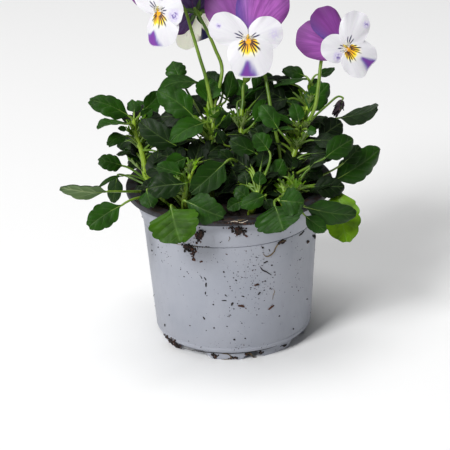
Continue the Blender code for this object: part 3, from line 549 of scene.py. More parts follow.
def grey_plastic():
    """Make the light blue-grey outside: dusty, with faint clouds and a fine grain."""
    finish = Finish("grey_plastic", 0.42)
    where = finish.place()
    clouds = finish.noise(where, 38.0, 4.0)
    dust = finish.noise(finish.place((1.0, 1.0, 0.35)), 420.0, 3.0, 0.7)
    colour = finish.mix(finish.step(clouds, 0.35, 0.68), "#a0a3ad", "#989ca7")
    colour = finish.mix(finish.step(dust, 0.58, 0.82, 0.0, 0.30), colour, "#85828a")
    finish.set("Base Color", colour)
    finish.set("Roughness", finish.step(dust, 0.35, 0.75, 0.40, 0.56))
    finish.relief(finish.noise(where, 900.0, 2.0), 0.08, 0.0002)
    return finish.material


def dark_plastic():
    """Make the dark side of the sheet, with dried soil on the rim's upper edge."""
    finish = Finish("dark_plastic", 0.5)
    finish.set("Specular IOR Level", 0.35)
    where = finish.place()
    crust = finish.noise(where, 260.0, 4.0, 0.7)
    height = finish.nodes.new("ShaderNodeSeparateXYZ")
    finish.links.new(finish.place(), height.inputs["Vector"])
    top = finish.step(height.outputs["Z"], 0.0820, 0.0829)
    soiled = finish.times(top, finish.step(crust, 0.45, 0.60))
    colour = finish.mix(finish.step(crust, 0.3, 0.7), "#2b2b31", "#202024")
    finish.set("Base Color", finish.mix(soiled, colour, "#2a1c15"))
    finish.set("Roughness", finish.step(crust, 0.3, 0.7, 0.42, 0.62))
    return finish.material


def dress_pot(pot):
    """Give the outside and the rim their own plastics, wave the sheet and round its edges."""
    pot.data.materials.append(grey_plastic())
    pot.data.materials.append(dark_plastic())
    for face in pot.data.polygons:
        middle = face.center / MM
        radius = math.hypot(middle.x, middle.y)
        inward = face.normal.x * middle.x + face.normal.y * middle.y < 0
        floor = face.normal.z > 0.5 and radius < BASE_RADIUS
        inside = (inward or floor) and middle.z > FOOT_HEIGHT + WALL / 2
        face.material_index = 1 if inside or middle.z > RIM_HEIGHT - 0.2 else 0
    for vertex in pot.data.vertices:
        place = vertex.co / MM
        above_base = min(1.0, max(0.0, place.z - STEADY_BASE) / WAVE_GROWTH)
        wave = noise.noise(place * 0.03) * SHEET_WAVE * above_base
        out = Vector((place.x, place.y, 0.0)).normalized()
        vertex.co += out * wave * MM
    edges = pot.modifiers.new("rounded edges", "BEVEL")
    edges.width = ROUNDED_EDGE * MM
    edges.segments = 2
    edges.limit_method = "ANGLE"
    edges.angle_limit = math.radians(50)
    apply_modifiers(pot)
    smooth(pot, 42)
    joined("nursery_pot", [pot])
    finish_piece(pot, "pot", "pot")


dress_pot(pot)

# %% [markdown]
# ## The soil
# Potting soil is a dark, damp mix of crumbs, fibres and a few pale grains. A plain disc with
# a rough finish would look flat between the stems. So the plug is a fine grid drawn into a
# disc and roughened with three sizes of noise, with its edge extruded down inside the pot.
# Loose crumbs lie on top: one ball with few faces, copied, squeezed and turned each time.

# %% Make the soil
SOIL_TOP = 77.5
SOIL_RADIUS = 45.7
SOIL_STEPS = 84
# the plug's edge from the top down, as radius and height
SOIL_EDGE = ((SOIL_RADIUS, 76.5), (45.2, 73.0), (43.0, 64.5), (39.2, 8.0))
CRUMB_COUNT = 700
GRAIN_COUNT = 26
LARGEST_CRUMB = 1.8


def soil_height(x, y):
    """Give the height of the soil's surface at a point."""
    point = Vector((x, y, 0.0))
    slow = noise.noise(point * 0.06) * 1.7
    clods = abs(noise.noise(point * 0.22 + Vector((7, 3, 1)))) * 2.2
    crumbs = noise.noise(point * 0.75) * 0.7
    return SOIL_TOP - 1.6 + slow + clods + crumbs


def make_soil_plug():
    """Make the rough disc and draw its edge down to the floor of the pot."""
    bpy.ops.object.select_all(action="DESELECT")
    bpy.ops.mesh.primitive_grid_add(x_subdivisions=SOIL_STEPS, y_subdivisions=SOIL_STEPS, size=2)
    soil = bpy.context.object
    for vertex in soil.data.vertices:
        x, y = vertex.co.xy
        round_x = x * math.sqrt(1.0 - y * y / 2.0) * SOIL_RADIUS
        round_y = y * math.sqrt(1.0 - x * x / 2.0) * SOIL_RADIUS
        vertex.co = Vector((round_x, round_y, soil_height(round_x, round_y))) * MM
    bpy.ops.object.mode_set(mode="EDIT")
    bpy.ops.mesh.select_mode(type="EDGE")
    bpy.ops.mesh.select_all(action="SELECT")
    bpy.ops.mesh.region_to_loop()
    for start, ring in zip(SOIL_EDGE, SOIL_EDGE[1:]):
        draw_ring(*ring, *start)
    bpy.ops.mesh.edge_face_add()
    bpy.ops.object.mode_set(mode="OBJECT")
    return soil


def scatter_crumbs(draw):
    """Scatter loose crumbs and a few pale grains over the soil."""
    bpy.ops.object.select_all(action="DESELECT")
    bpy.ops.mesh.primitive_ico_sphere_add(subdivisions=1, radius=MM)
    crumb = bpy.context.object
    scattered = []
    for index in range(CRUMB_COUNT + GRAIN_COUNT):
        twin = copied(crumb)
        reach = (SOIL_RADIUS - 1.0) * math.sqrt(draw.random())
        turn = draw.uniform(0.0, math.tau)
        x = reach * math.cos(turn)
        y = reach * math.sin(turn)
        size = min(draw.lognormvariate(-0.45, 0.45), LARGEST_CRUMB)
        twin.scale = (size * draw.uniform(0.8, 1.7), size * draw.uniform(0.5, 1.0),
                      size * draw.uniform(0.4, 0.8))
        twin.rotation_euler = [draw.uniform(-0.6, 0.6), draw.uniform(-0.6, 0.6), turn * 5.0]
        twin.location = Vector((x, y, soil_height(x, y) + size * 0.2)) * MM
        twin.data.materials.append(GRAIN if index >= CRUMB_COUNT else HUMUS)
        scattered.append(twin)
    bpy.data.objects.remove(crumb)
    return scattered


def humus():
    """Make damp potting soil: near black, with brown fibres, uneven in shine."""
    finish = Finish("humus", 0.85)
    where = finish.place()
    clods = finish.noise(where, 160.0, 5.0, 0.7)
    fibres = finish.noise(finish.place((1.0, 4.0, 1.0)), 300.0, 3.0)
    colour = finish.mix(finish.step(clods, 0.35, 0.70), "#1b1412", "#33261f")
    colour = finish.mix(finish.step(fibres, 0.62, 0.74, 0.0, 0.7), colour, "#5b4331")
    finish.set("Base Color", colour)
    finish.set("Roughness", finish.step(clods, 0.3, 0.7, 0.6, 0.95))
    finish.relief(finish.noise(where, 700.0, 4.0, 0.7), 0.5, 0.0006)
    return finish.material


def grain():
    """Make the pale mineral grains."""
    finish = Finish("pale_grain", 0.8)
    cloud = finish.noise(finish.place(), 900.0)
    finish.set("Base Color", finish.mix(cloud, "#8f8578", "#cfc8bb"))
    return finish.material


HUMUS = humus()
GRAIN = grain()
soil = make_soil_plug()
soil.data.materials.append(HUMUS)
soil = joined("potting_soil", [soil] + scatter_crumbs(random.Random(4)))
smooth(soil, 50)
finish_piece(soil, "soil", "soil")

# %% [markdown]
# ## The leaves
# A leaf of this plant is an egg-shaped blade on a long stalk, with three to five blunt teeth
# on each side. The side veins run out to the teeth, and the blade puffs up a little between
# them. It could be cut from a drawn outline and filled, but then its faces would not follow
# its veins. So a flat grid is the master, and each copy is bent along its own line. No two
# leaves are alike, and the grid's rows are close enough to draw every tooth.

# %% The master grids
BLADE_THICKNESS = 0.42
FOLD = 0.12
LARGE_LEAF = 9.5
BROAD_LEAF = 14.0
LARGE_ROWS = 46
SMALL_ROWS = 24


def flat_grid(name, columns, rows):
    """Add a flat grid from -1 to 1, whose copies become leaves or petals."""
    bpy.ops.object.select_all(action="DESELECT")
    bpy.ops.mesh.primitive_grid_add(x_subdivisions=columns, y_subdivisions=rows, size=2)
    master = bpy.context.object
    master.name = name
    return master


def points_of(thing):
    """Return an object's points as an array."""
    flat = np.empty(len(thing.data.vertices) * 3, np.float32)
    thing.data.vertices.foreach_get("co", flat)
    return flat.reshape(-1, 3)


def shaped(master, points, across, along, tone):
    """Copy a master grid to new points, with its map and the number that tints it."""
    twin = copied(master)
    mesh = twin.data
    mesh.vertices.foreach_set("co", (np.asarray(points) * MM).astype(np.float32).ravel())
    corner = np.empty(len(mesh.loops), np.int32)
    mesh.loops.foreach_get("vertex_index", corner)
    chart = np.stack([across, along], axis=1)[corner]
    mesh.uv_layers[0].data.foreach_set("uv", chart.astype(np.float32).ravel())
    shade = mesh.attributes.new("tone", "FLOAT", "POINT")
    shade.data.foreach_set("value", np.full(len(mesh.vertices), tone, np.float32))
    mesh.update()
    return twin


LARGE_GRID = flat_grid("large_leaf_grid", 12, LARGE_ROWS)
SMALL_GRID = flat_grid("small_leaf_grid", 8, SMALL_ROWS)
LOBED_GRID = flat_grid("stipule_grid", 4, 24)
print("grid points:", len(LARGE_GRID.data.vertices), len(SMALL_GRID.data.vertices))

# %% [markdown]
# The blade's shape comes from a few plain rules. A sine, squeezed towards the heel, gives the
# egg-shaped outline. Scallops cut the blunt teeth in it. The lift out of the flat adds up
# the bow along the leaf, the fold at its midrib, a waved margin, a tip that droops, and the
# puffed fields between the side veins.

# %% Bend one leaf blade
VEIN_MAP_SCALE = 8.0
VEIN_SLANT = 1.5


def soft_step(value):
    """Rise softly from 0 to 1 while the value does."""
    value = np.clip(value, 0.0, 1.0)
    return value * value * (3.0 - 2.0 * value)


def leaf_habit(draw, width):
    """Draw the small differences that make a leaf its own."""
    return {
        "widest": draw.uniform(0.84, 1.10),
        "blunt": draw.uniform(0.46, 0.60),
        "teeth": 3 + (width > LARGE_LEAF) + (width > BROAD_LEAF),
        "depth": draw.uniform(0.10, 0.17),
        "wave": draw.uniform(0.02, 0.06),
        "phase": draw.uniform(0.0, math.tau),
        "cup": draw.uniform(-0.20, 0.06),
        "droop": draw.uniform(-0.02, 0.22),
        "twist": math.radians(draw.uniform(-20, 20)),
        "sweep": draw.uniform(-0.06, 0.06),
        "lobed": False,
    }


def blade_axes(heel, tip, turn, face):
    """Return a blade's length and its directions along, outwards and to its side."""
    axis = tip - heel
    along = axis.normalized()
    out = (face - along * face.dot(along)).normalized()
    out = Matrix.Rotation(math.radians(turn), 3, along) @ out
    return axis.length, along, out, along.cross(out)


def bend_blade(master, heel, tip, width, turn, bow, face, habit, tone):
    """Bend a copy of a master grid into one leaf blade from heel to tip."""
    length, along, out, side = blade_axes(heel, tip, turn, face)
    grid = points_of(master)
    s = grid[:, 0]
    u = 0.012 + 0.976 * (grid[:, 1] + 1.0) / 2.0
    teeth = habit["teeth"]
    outline = np.sin(np.pi * u ** habit["widest"]) ** habit["blunt"]
    outline *= 0.12 + 0.88 * soft_step(u / 0.30)
    beat = np.abs(np.sin(np.pi * (teeth * u + 0.3)))
    # the outline's teeth or lobes, which point ahead
    if habit["lobed"]:
        half = width / 2 * outline * (0.25 + 0.75 * beat ** 2)
        ahead = 0.34 * length * beat * s ** 2
    else:
        toothed = soft_step((u - 0.12) / 0.25)
        half = width / 2 * outline * (1.0 - habit["depth"] * (1.0 - beat ** 0.6) * toothed)
        ahead = 0.05 * length / teeth * beat * s ** 2 * toothed
    x = s * half
    edge = np.abs(s)
    fields = np.cos(math.tau * (teeth * u - VEIN_SLANT * edge + 0.5))
    # the lift: bow and fold, cup, waved margin, drooping tip, puffed fields, sunk midrib
    lift = bow * length * 2.0 * u * (1.0 - u) + FOLD * np.abs(x)
    lift += habit["cup"] * width * edge ** 2 * soft_step(u * 3.0)
    lift += habit["wave"] * width * edge ** 2 * np.sin(9.0 * u + habit["phase"] + 1.3 * (s > 0))
    lift -= habit["droop"] * length * np.maximum(0.0, u - 0.55) ** 2 * 2.2
    lift += 0.012 * width * fields * edge * (1.0 - edge) * 4.0 * soft_step(u * 4.0)
    lift -= 0.018 * width * np.exp(-(s / 0.13) ** 2)
    # the whole blade twists round its midrib and sweeps to one side
    turned = habit["twist"] * (u - 0.2)
    sideways = x * np.cos(turned) - lift * np.sin(turned)
    upwards = x * np.sin(turned) + lift * np.cos(turned)
    sideways += habit["sweep"] * length * 4.0 * u * (1.0 - u)
    points = (np.outer(u * length + ahead, along) + np.outer(sideways, side)
              + np.outer(upwards, out) + np.array(heel))
    across = 0.5 + 0.5 * x / (width / 2)
    return shaped(master, points, across, u * teeth / VEIN_MAP_SCALE, tone)


print("one leaf has", len(LARGE_GRID.data.polygons), "faces before it gets its thickness")

# %% [markdown]
# Stalks and stems are round and bend softly. They could be cylinders extruded and turned step
# by step, but a curve with a radius at each point bends and thins out by itself, and is then
# turned into a mesh. All the stalks of a shoot share one curve object. Each leaf's stalk runs
# on under the blade as its midrib and thins out towards the tip.

# %% Stalks and stems
STEM_RADIUS = 1.75
STEM_TAPER = 0.35
STALK_LEAD = 0.35
STALK_STEPS = 8
STEM_FOOT = 72.0
STEM_CLEAR = 79.0
# how far along the blade each point of the midrib lies, and its radius there
MIDRIB = ((0.06, 0.46), (0.15, 0.36), (0.3, 0.26), (0.5, 0.19), (0.7, 0.12), (0.88, 0.06))


def smooth_course(points, steps):
    """Return points along a smooth curve through the given ones."""
    ends = [points[0] * 2 - points[1], *points, points[-1] * 2 - points[-2]]
    course = []
    for index in range(1, len(ends) - 2):
        before, start, end, after = ends[index - 1:index + 3]
        for step in range(steps):
            t = step / steps
            course.append(
                0.5 * (2 * start + (end - before) * t
                       + (2 * before - 5 * start + 4 * end - after) * t * t
                       + (3 * start - before - 3 * end + after) * t * t * t))
    course.append(points[-1].copy())
    return course


def along_course(course, share):
    """Return the point at a share of the way along a course."""
    spans = [(b - a).length for a, b in zip(course, course[1:])]
    left = share * sum(spans)
    for span, start, end in zip(spans, course, course[1:]):
        if left <= span:
            return start.lerp(end, left / span)
        left -= span
    return course[-1].copy()


def tubes(name, courses, finish, resolution=2):
    """Turn courses of (points, radii) into one mesh of round, capped tubes."""
    bpy.ops.object.select_all(action="DESELECT")
    bpy.ops.curve.primitive_bezier_curve_add()
    curve = bpy.context.object
    curve.data.splines.clear()
    curve.data.bevel_depth = MM
    curve.data.bevel_resolution = resolution
    curve.data.use_fill_caps = True
    for points, radii in courses:
        spline = curve.data.splines.new("POLY")
        spline.points.add(len(points) - 1)
        for knot, place, radius in zip(spline.points, points, radii):
            knot.co = (*(place * MM), 1.0)
            knot.radius = radius
        spline.use_smooth = True
    bpy.ops.object.convert(target="MESH")
    made = bpy.context.object
    made.name = name
    made.data.materials.append(finish)
    return made


def stalk_of(blade, rows, root, heel, along, width):
    """Return the course of a leaf's stalk, which goes on as the blade's midrib."""
    thick = min(1.0, 0.55 + width / 30.0)
    reach = (heel - root).length
    agree = max(0.0, along.dot((heel - root).normalized()))
    control = heel - along * reach * STALK_LEAD * (0.35 + 0.65 * agree)
    control += Vector((0, 0, 0.04 * reach))
    points = []
    radii = []
    for step in range(STALK_STEPS + 1):
        t = step / STALK_STEPS
        points.append(root * (1 - t) ** 2 + control * 2 * t * (1 - t) + heel * t * t)
        radii.append((0.85 - 0.30 * t) * thick)
    line = points_of(blade).reshape(rows + 1, -1, 3) / MM
    middle = line.shape[1] // 2
    for share, radius in MIDRIB:
        points.append(Vector(line[round(share * rows), middle]))
        radii.append(radius * thick)
    return points, radii


print("a midrib's course has", len(MIDRIB), "points")

# %% [markdown]
# Leaves are darker and glossier above than below. The tone that each leaf carries runs from a
# near-black green, painted shade for leaves deep in the plant, through deep green to a young
# yellow-green. Veins show as pale lines. They could be painted on an image, but lines worked
# out from the leaf's own map bend with it and stay sharp.

# %% Finishes of the green parts
def vein_lines(finish, width):
    """Give 1 on the veins and 0 between them, from the leaf's own map."""
    across, along = finish.across_and_along()
    edge = finish.number("ABSOLUTE", across)
    midrib = finish.step(edge, 0.0, width * 0.9, 1.0, 0.0)
    beat = finish.minus(finish.times(along, VEIN_MAP_SCALE), finish.times(edge, VEIN_SLANT))
    distance = finish.number("PINGPONG", beat, 0.5)
    side = finish.step(distance, 0.0, width, 0.7, 0.0)
    side = finish.times(side, finish.step(edge, 0.1, 0.9, 1.0, 0.1))
    return finish.number("MAXIMUM", midrib, side)


def leaf_top():
    """Make the upper side: deep green with pale veins and a soft, uneven shine."""
    finish = Finish("leaf_top", 0.42)
    finish.set("Specular IOR Level", 0.17)
    finish.set("Sheen Weight", 0.22)
    finish.set("Sheen Roughness", 0.35)
    finish.set("Sheen Tint", "#c4d2b8")
    finish.set("Subsurface Weight", 0.15)
    finish.set("Subsurface Radius", (0.0006, 0.0014, 0.0002))
    tone = finish.attribute("tone")
    where = finish.place()
    clouds = finish.noise(where, 130.0, 4.0, 0.6)
    # Low tones go to near black: painted shade for leaves deep in the plant.
    colour = finish.mix(finish.step(tone, 0.0, 0.5), "#051302", "#234d06")
    colour = finish.mix(finish.step(tone, 0.5, 1.0), colour, "#6f9a0c")
    colour = finish.mix(finish.step(clouds, 0.40, 0.70, 0.0, 0.5), colour, "#0b1e04")
    veins = vein_lines(finish, 0.09)
    colour = finish.mix(finish.times(veins, 0.14), colour, "#7f9f55")
    finish.set("Base Color", colour)
    finish.set("Roughness", finish.step(clouds, 0.3, 0.75, 0.40, 0.60))
    skin = finish.noise(where, 1500.0, 2.0)
    height = finish.minus(finish.times(skin, 0.35), veins)
    finish.relief(height, 0.5, 0.0003)
    return finish.material


def leaf_under():
    """Make the paler, duller lower side, with veins that stand out."""
    finish = Finish("leaf_under", 0.6)
    tone = finish.attribute("tone")
    clouds = finish.noise(finish.place(), 160.0, 3.0)
    # Low tones are darker below too: painted shade for leaves deep in the plant.
    colour = finish.mix(finish.step(tone, 0.0, 1.0), "#4d6b38", "#86a050")
    colour = finish.mix(finish.step(clouds, 0.35, 0.7, 0.0, 0.5), colour, "#4f6e3c")
    veins = vein_lines(finish, 0.13)
    colour = finish.mix(finish.times(veins, 0.5), colour, "#b4c58c")
    finish.set("Base Color", colour)
    finish.relief(veins, 0.4, 0.0003)
    return finish.material


def stalk_green(name, dark, light):
    """Make stems and stalks: yellow-green and ribbed along."""
    finish = Finish(name, 0.42)
    where = finish.place((1.0, 1.0, 0.25))
    ribs = finish.noise(where, 1300.0, 2.0)
    clouds = finish.noise(finish.place(), 60.0, 3.0)
    colour = finish.mix(finish.step(clouds, 0.35, 0.65), dark, light)
    colour = finish.mix(finish.step(ribs, 0.45, 0.75, 0.0, 0.4), colour, "#48661f")
    finish.set("Base Color", colour)
    finish.relief(ribs, 0.25, 0.0003)
    return finish.material


LEAF_TOP = leaf_top()
LEAF_UNDER = leaf_under()
STALK_GREEN = stalk_green("stalk_green", "#4f7218", "#7c9a30")
STEM_GREEN = stalk_green("stem_green", "#86a625", "#a5c440")
print("green finishes:", LEAF_TOP.name, LEAF_UNDER.name, STALK_GREEN.name, STEM_GREEN.name)

# %% [markdown]
# A shoot is one piece: its stem, its leaves with their stalks, the lobed stipules where
# stalks start, and the stalks of its flowers. Blades are joined first and then get their
# thickness in one go, with the paler finish on the lower side.

# %% Grow a shoot
def add_leaf(blades, courses, root, heel, tip, width, turn, bow, face, draw, tone):
    """Add one leaf's blade and stalk to the shoot's lists."""
    master, rows = (LARGE_GRID, LARGE_ROWS) if width > LARGE_LEAF else (SMALL_GRID, SMALL_ROWS)
    habit = leaf_habit(draw, width)
    blade = bend_blade(master, heel, tip, width, turn, bow, face, habit, tone)
    blades.append(blade)
    courses.append(stalk_of(blade, rows, root, heel, (tip - heel).normalized(), width))


def add_stipules(blades, root, draw, length):
    """Add three lobed stipules that stand round the start of a stalk."""
    turn = draw.uniform(0.0, math.tau)
    for step in range(3):
        angle = turn + step * draw.uniform(1.7, 2.5)
        out = Vector((math.cos(angle), math.sin(angle), draw.uniform(1.0, 2.2))).normalized()
        habit = leaf_habit(draw, 3.0)
        habit.update({"teeth": 3, "lobed": True, "wave": 0.02, "cup": 0.0})
        tip = root + out * length * draw.uniform(0.75, 1.2)
        face = Vector((-math.cos(angle), -math.sin(angle), 1.0))
        blades.append(bend_blade(LOBED_GRID, root + out * 0.6, tip, length * 0.5,
                                 draw.uniform(-30, 30), -0.1, face, habit,
                                 draw.uniform(0.7, 1.0)))


def join_shoot(name, blades, courses):
    """Join a shoot's blades, thicken them and join its stem and stalks to them."""
    green = joined(name + "_foliage", blades)
    green.data.materials.append(LEAF_TOP)
    green.data.materials.append(LEAF_UNDER)
    thicken(green, BLADE_THICKNESS)
    stem = tubes(name + "_stem", courses[:1], STEM_GREEN)
    stalks = tubes(name + "_stalks", courses[1:], STALK_GREEN)
    shoot = joined(name + "_foliage", [green, stem, stalks])
    smooth(shoot, 60)
    return shoot


print("leaf blades are", BLADE_THICKNESS, "mm thick, and stems", 2 * STEM_RADIUS, "mm")

# %% [markdown]
# ## Where the shoots and flowers stand
# The leaves were read off one by one. A leaf is written as how far up the stem its stalk
# starts (0 to 1), its heel, its tip, its width, how far the blade turns from facing the eye
# in degrees, and how far it bows out of flat as a share of its length.

# %% The layout of the plant
SHOOTS = {
    "shoot_left": {
        "foot": (-34.0, -14.0),
        "stem": [(-39.5, 24.5, 12), (-40.5, 31.5, 12), (-42, 38, 13), (-45, 46, 14),
                 (-45.7, 53, 15)],
        "leaves": [
            (0.97, (-47.5, 54, 16), (-67.5, 62.8, 22), 12, 25, 0.10),
            (0.90, (-49, 50.5, 23), (-63.7, 49.3, 31), 11, 72, 0.10),
            (0.98, (-45.5, 56, 14), (-46.5, 63, 9), 7, 10, 0.05),
            (0.97, (-42.5, 54.5, 17), (-36.5, 57.8, 20), 6, 35, 0.10),
            (0.85, (-41, 57.5, 10), (-32.5, 66.5, 6), 9, 20, 0.08),
            (0.72, (-49.5, 44.5, 18), (-58.3, 39.8, 26), 7, 20, 0.22),
            (0.80, (-49, 47.5, 15), (-53.5, 48.3, 17), 3, 20, 0.10),
            (0.30, (-51, 29.5, 13), (-62.7, 32.5, 19), 10, 25, 0.08),
            (0.24, (-58, 16.8, 33), (-82.5, 20.5, 50), 11, 135, -0.08),
            (0.34, (-51.2, 24.4, 15), (-63, 19.2, 20), 2.5, 30, 0.25),
            (0.26, (-54, 24.5, 6), (-56.5, 11, 3), 8, 10, 0.05),
            (0.16, (-51.5, 9.8, 34), (-68, -1, 38), 12.5, 5, 0.06),
            (0.45, (-40.5, 33.5, 3), (-50, 38.5, 2), 9, 15, 0.06),
            (0.34, (-33.5, 38.5, 10), (-33, 53.5, 4), 12, -15, 0.06),
        ],
    },
    "shoot_front_left": {
        "foot": (-22.0, -32.0),
        "stem": [(-20, 13, 36), (-18, 22, 36), (-15, 31, 33)],
        "leaves": [
            (0.10, (-39, 17.3, 36), (-37, 9.5, 41), 9.5, 0, 0.08),
            (0.70, (-21.5, 25.5, 41), (-34, 29.5, 42), 9, 15, 0.08),
            (0.55, (-32, 20.5, 30), (-33.5, 37, 24), 12, 5, 0.06),
            (0.35, (-19.5, 20.5, 44), (-38.5, 18.3, 45), 13, 10, 0.08),
            (0.80, (-19, 33.5, 36), (-29.5, 28.5, 37), 9.5, -10, 0.10),
            (0.15, (-19.5, 12, 46), (-1, 3.5, 50), 15, 10, 0.12),
            (0.05, (-26.8, 9, 47), (-22, -9, 53), 25, 5, 0.10),
        ],
    },
    "shoot_upper_left": {
        "foot": (-9.0, -16.0),
        "stem": [(-8, 30, 22), (-8, 36.5, 23), (-6.5, 45, 22), (-6, 53.5, 21), (-5.5, 60, 19)],
        "leaves": [
            (0.75, (-22, 72.5, 2), (-26.3, 82, -3), 11, 10, 0.06),
            (0.76, (-13, 71, 10), (-34, 68.3, 12), 14, 52, 0.16),
            (0.82, (-15.5, 54, 25), (-33.7, 67.2, 25), 14, 10, 0.08),
            (0.72, (-10, 51, 28), (-27, 42, 37), 12, 20, 0.20),
            (0.70, (-8, 54, 26), (-2.5, 58.3, 29), 5.5, 15, 0.10),
            (0.86, (-8.5, 61, 21), (-7.3, 73.5, 15), 13.5, 5, 0.06),
            (0.98, (0.5, 62.5, 14), (3.7, 77, 10), 8.5, 15, 0.06),
            (0.90, (-2.5, 69, 4), (-9.5, 76.5, 2), 9, 10, 0.05),
            (0.60, (-14.5, 51, 19), (-27.5, 55, 18), 9, 30, 0.10),
            (0.50, (-22.5, 39, 22), (-42.5, 52, 22), 13, 5, 0.10),
        ],
    },
    "shoot_centre": {
        "foot": (9.0, -10.0),
        "stem": [(9, 26, 16), (8.5, 38, 18), (8, 50, 18), (8.5, 58, 17)],
        "leaves": [
            (0.85, (7, 62, 16), (24.3, 72, 11), 10, 62, 0.10),
            (0.96, (9.5, 64, 10), (5.5, 73, 8), 8, 10, 0.05),
            (0.90, (13.5, 66, 3), (24, 75, 0), 11, 15, 0.06),
            (0.75, (14.5, 51, 23), (20.5, 62.5, 18), 9, 15, 0.06),
            (0.25, (15.5, 36, 27), (2.5, 42.5, 29), 9.5, 10, 0.10),
            (0.65, (-0.5, 40.5, 25), (-4.5, 47.5, 28), 6, 10, 0.08),
            (0.36, (4, 30, 28), (-2.5, 37, 31), 7, 10, 0.08),
            (0.85, (2.5, 56.5, 22), (-4, 49.5, 26), 8, -10, 0.12),
            (0.80, (15, 57, 9), (22.5, 65, 5), 10, 10, 0.06),
            (0.50, (19, 41, 13), (29, 48, 9), 10, 10, 0.06),
            (0.30, (14, 28, 24), (21, 35.5, 24), 9, 5, 0.08),
            (0.15, (6, 24, 27), (12, 31, 27), 8, 5, 0.08),
            (0.42, (0.5, 31.5, 38), (-16.5, 16.5, 47), 14, 5, 0.10),
        ],
    },
    "shoot_front": {
        "foot": (10.0, -34.0),
        "stem": [(14, 8, 38), (15.5, 14, 38), (18, 22, 36)],
        "leaves": [
            (0.45, (8, 11.5, 45), (1.5, 8, 48), 7, 10, 0.10),
            (0.45, (12, 13.5, 40), (5.5, 18.5, 40), 8, 5, 0.10),
            (0.90, (11, 20, 35), (9.5, 27, 33), 8, 10, 0.08),
            (0.55, (17.5, 19.5, 39), (18, 27, 37), 7, 10, 0.08),
            (0.35, (20.5, 15, 45), (8, 9.5, 50), 8.5, 15, 0.12),
            (0.62, (20.5, 13, 38), (23.5, 8, 40), 6, 0, 0.08),
            (0.90, (22, 37, 32), (15, 45.5, 32), 10, 10, 0.06),
            (0.75, (24, 24, 30), (29, 33, 28), 9, 5, 0.06),
        ],
    },
    "shoot_right": {
        "foot": (27.0, -18.0),
        "stem": [(28.5, 17, 16), (31, 26, 17), (34, 34, 17), (37, 43, 16), (39.5, 52, 13),
                 (42, 62, 9), (42.8, 71, 7)],
        "leaves": [
            (0.99, (40, 74.5, 5), (29, 78.3, 6), 9, 28, 0.14),
            (0.97, (41.5, 73, 12), (24.5, 71, 16), 9, 74, 0.08),
            (1.00, (46, 75.3, 5), (55, 77.4, 4), 6, 48, 0.08),
            (0.84, (44, 63, 3), (46.5, 73, -1), 9, 10, 0.05),
            (0.82, (38, 63.5, 4), (29.5, 69.5, 3), 9, 10, 0.06),
            (0.68, (42, 56.5, 13), (52, 71, 7), 12, 10, 0.08),
            (0.62, (37, 51, 21), (34.3, 61, 20), 8, 10, 0.06),
            (0.56, (30.5, 52.5, 10), (23, 63.5, 8), 10, 5, 0.06),
            (0.60, (34.5, 50, 22), (24.3, 55.2, 26), 3.5, 30, 0.10),
            (0.57, (35.5, 48, 25), (23.5, 47, 31), 4, 60, 0.12),
            (0.48, (27, 47.5, 33), (18.3, 60.3, 33), 9.5, 10, 0.06),
            (0.45, (56.5, 53.5, -10), (77.5, 58.2, -24), 12, 52, 0.06),
            (0.48, (46.5, 43, 6), (58.5, 51.5, 4), 13, 5, 0.06),
            (0.61, (41, 48, 22), (45.7, 46.5, 24), 5, 10, 0.10),
            (0.24, (49.5, 33.2, 26), (64.8, 43.3, 21), 11.5, 10, 0.08),
            (0.32, (41, 33.5, 12), (48, 41.5, 10), 9, 10, 0.06),
            (0.14, (42, 22.5, 21), (47.5, 29.5, 19), 8, 15, 0.06),
            (0.18, (59, 31, 14), (67.5, 39.7, 12), 9, 10, 0.06),
            (0.19, (54, 22, 12), (78.3, 38.5, 2), 15, 8, 0.08),
        ],
    },
    "shoot_front_right": {
        "foot": (27.0, -28.0),
        "stem": [(30, 11, 29), (34, 16, 29), (37, 20, 28)],
        "leaves": [
            (0.60, (25, 10, 46), (29.5, -3, 52.5), 25, 5, 0.10),
            (0.75, (27.5, 12.3, 51.5), (39.5, 11, 53.5), 14, 5, 0.10),
            (0.80, (39.5, 9.5, 43), (66, 5, 37), 12.5, 25, 0.06),
            (0.90, (40, 5, 41), (50.5, -3, 40), 8, 10, 0.08),
            (0.92, (56.8, 18.5, 22), (61, -8.5, 27), 19, 5, 0.08),
            (0.98, (41, 17, 28), (53.5, 19.5, 27), 7, 66, 0.08),
        ],
    },
}

# Stalks that grow from a shoot and carry a flower or a bud: the shoot, how far up its stem
# the stalk starts, and its course. The last place lies behind the flower.
FLOWER_STALKS = {
    "bloom_1": ("shoot_upper_left", 0.92, [(-9.6, 73.7, 22), (-12.3, 82.6, 25), (-17, 98, 29),
                                           (-20.3, 108, 30), (-25, 111.5, 29)]),
    "bloom_2": ("shoot_upper_left", 0.97, [(-1.5, 77, 14), (-5, 88, 16), (-9, 97, 19),
                                           (-13, 104.5, 22), (-15.3, 108.3, 22)]),
    "bloom_3": ("shoot_right", 0.07, [(27, 38, 21), (23.5, 55, 23), (20, 75, 21),
                                      (15.5, 92, 18), (12.5, 97, 20)]),
    "bloom_4": ("shoot_right", 0.62, [(44.5, 57.5, 19), (46.7, 70, 20), (48.5, 84, 20),
                                      (53, 92.5, 19), (57.5, 92, 21)]),
    "bud": ("shoot_centre", 0.97, [(9, 62, 17), (9, 69, 15), (10, 71.5, 16)]),
    "small_bud": ("shoot_right", 0.09, [(32, 20, 20), (35, 22, 20)]),
    "withered_flower": ("shoot_right", 0.60, [(44.5, 54, 13), (51, 60, 10), (56, 64.2, 8),
                                              (58.9, 63.7, 8), (58.4, 62.5, 8)]),
}

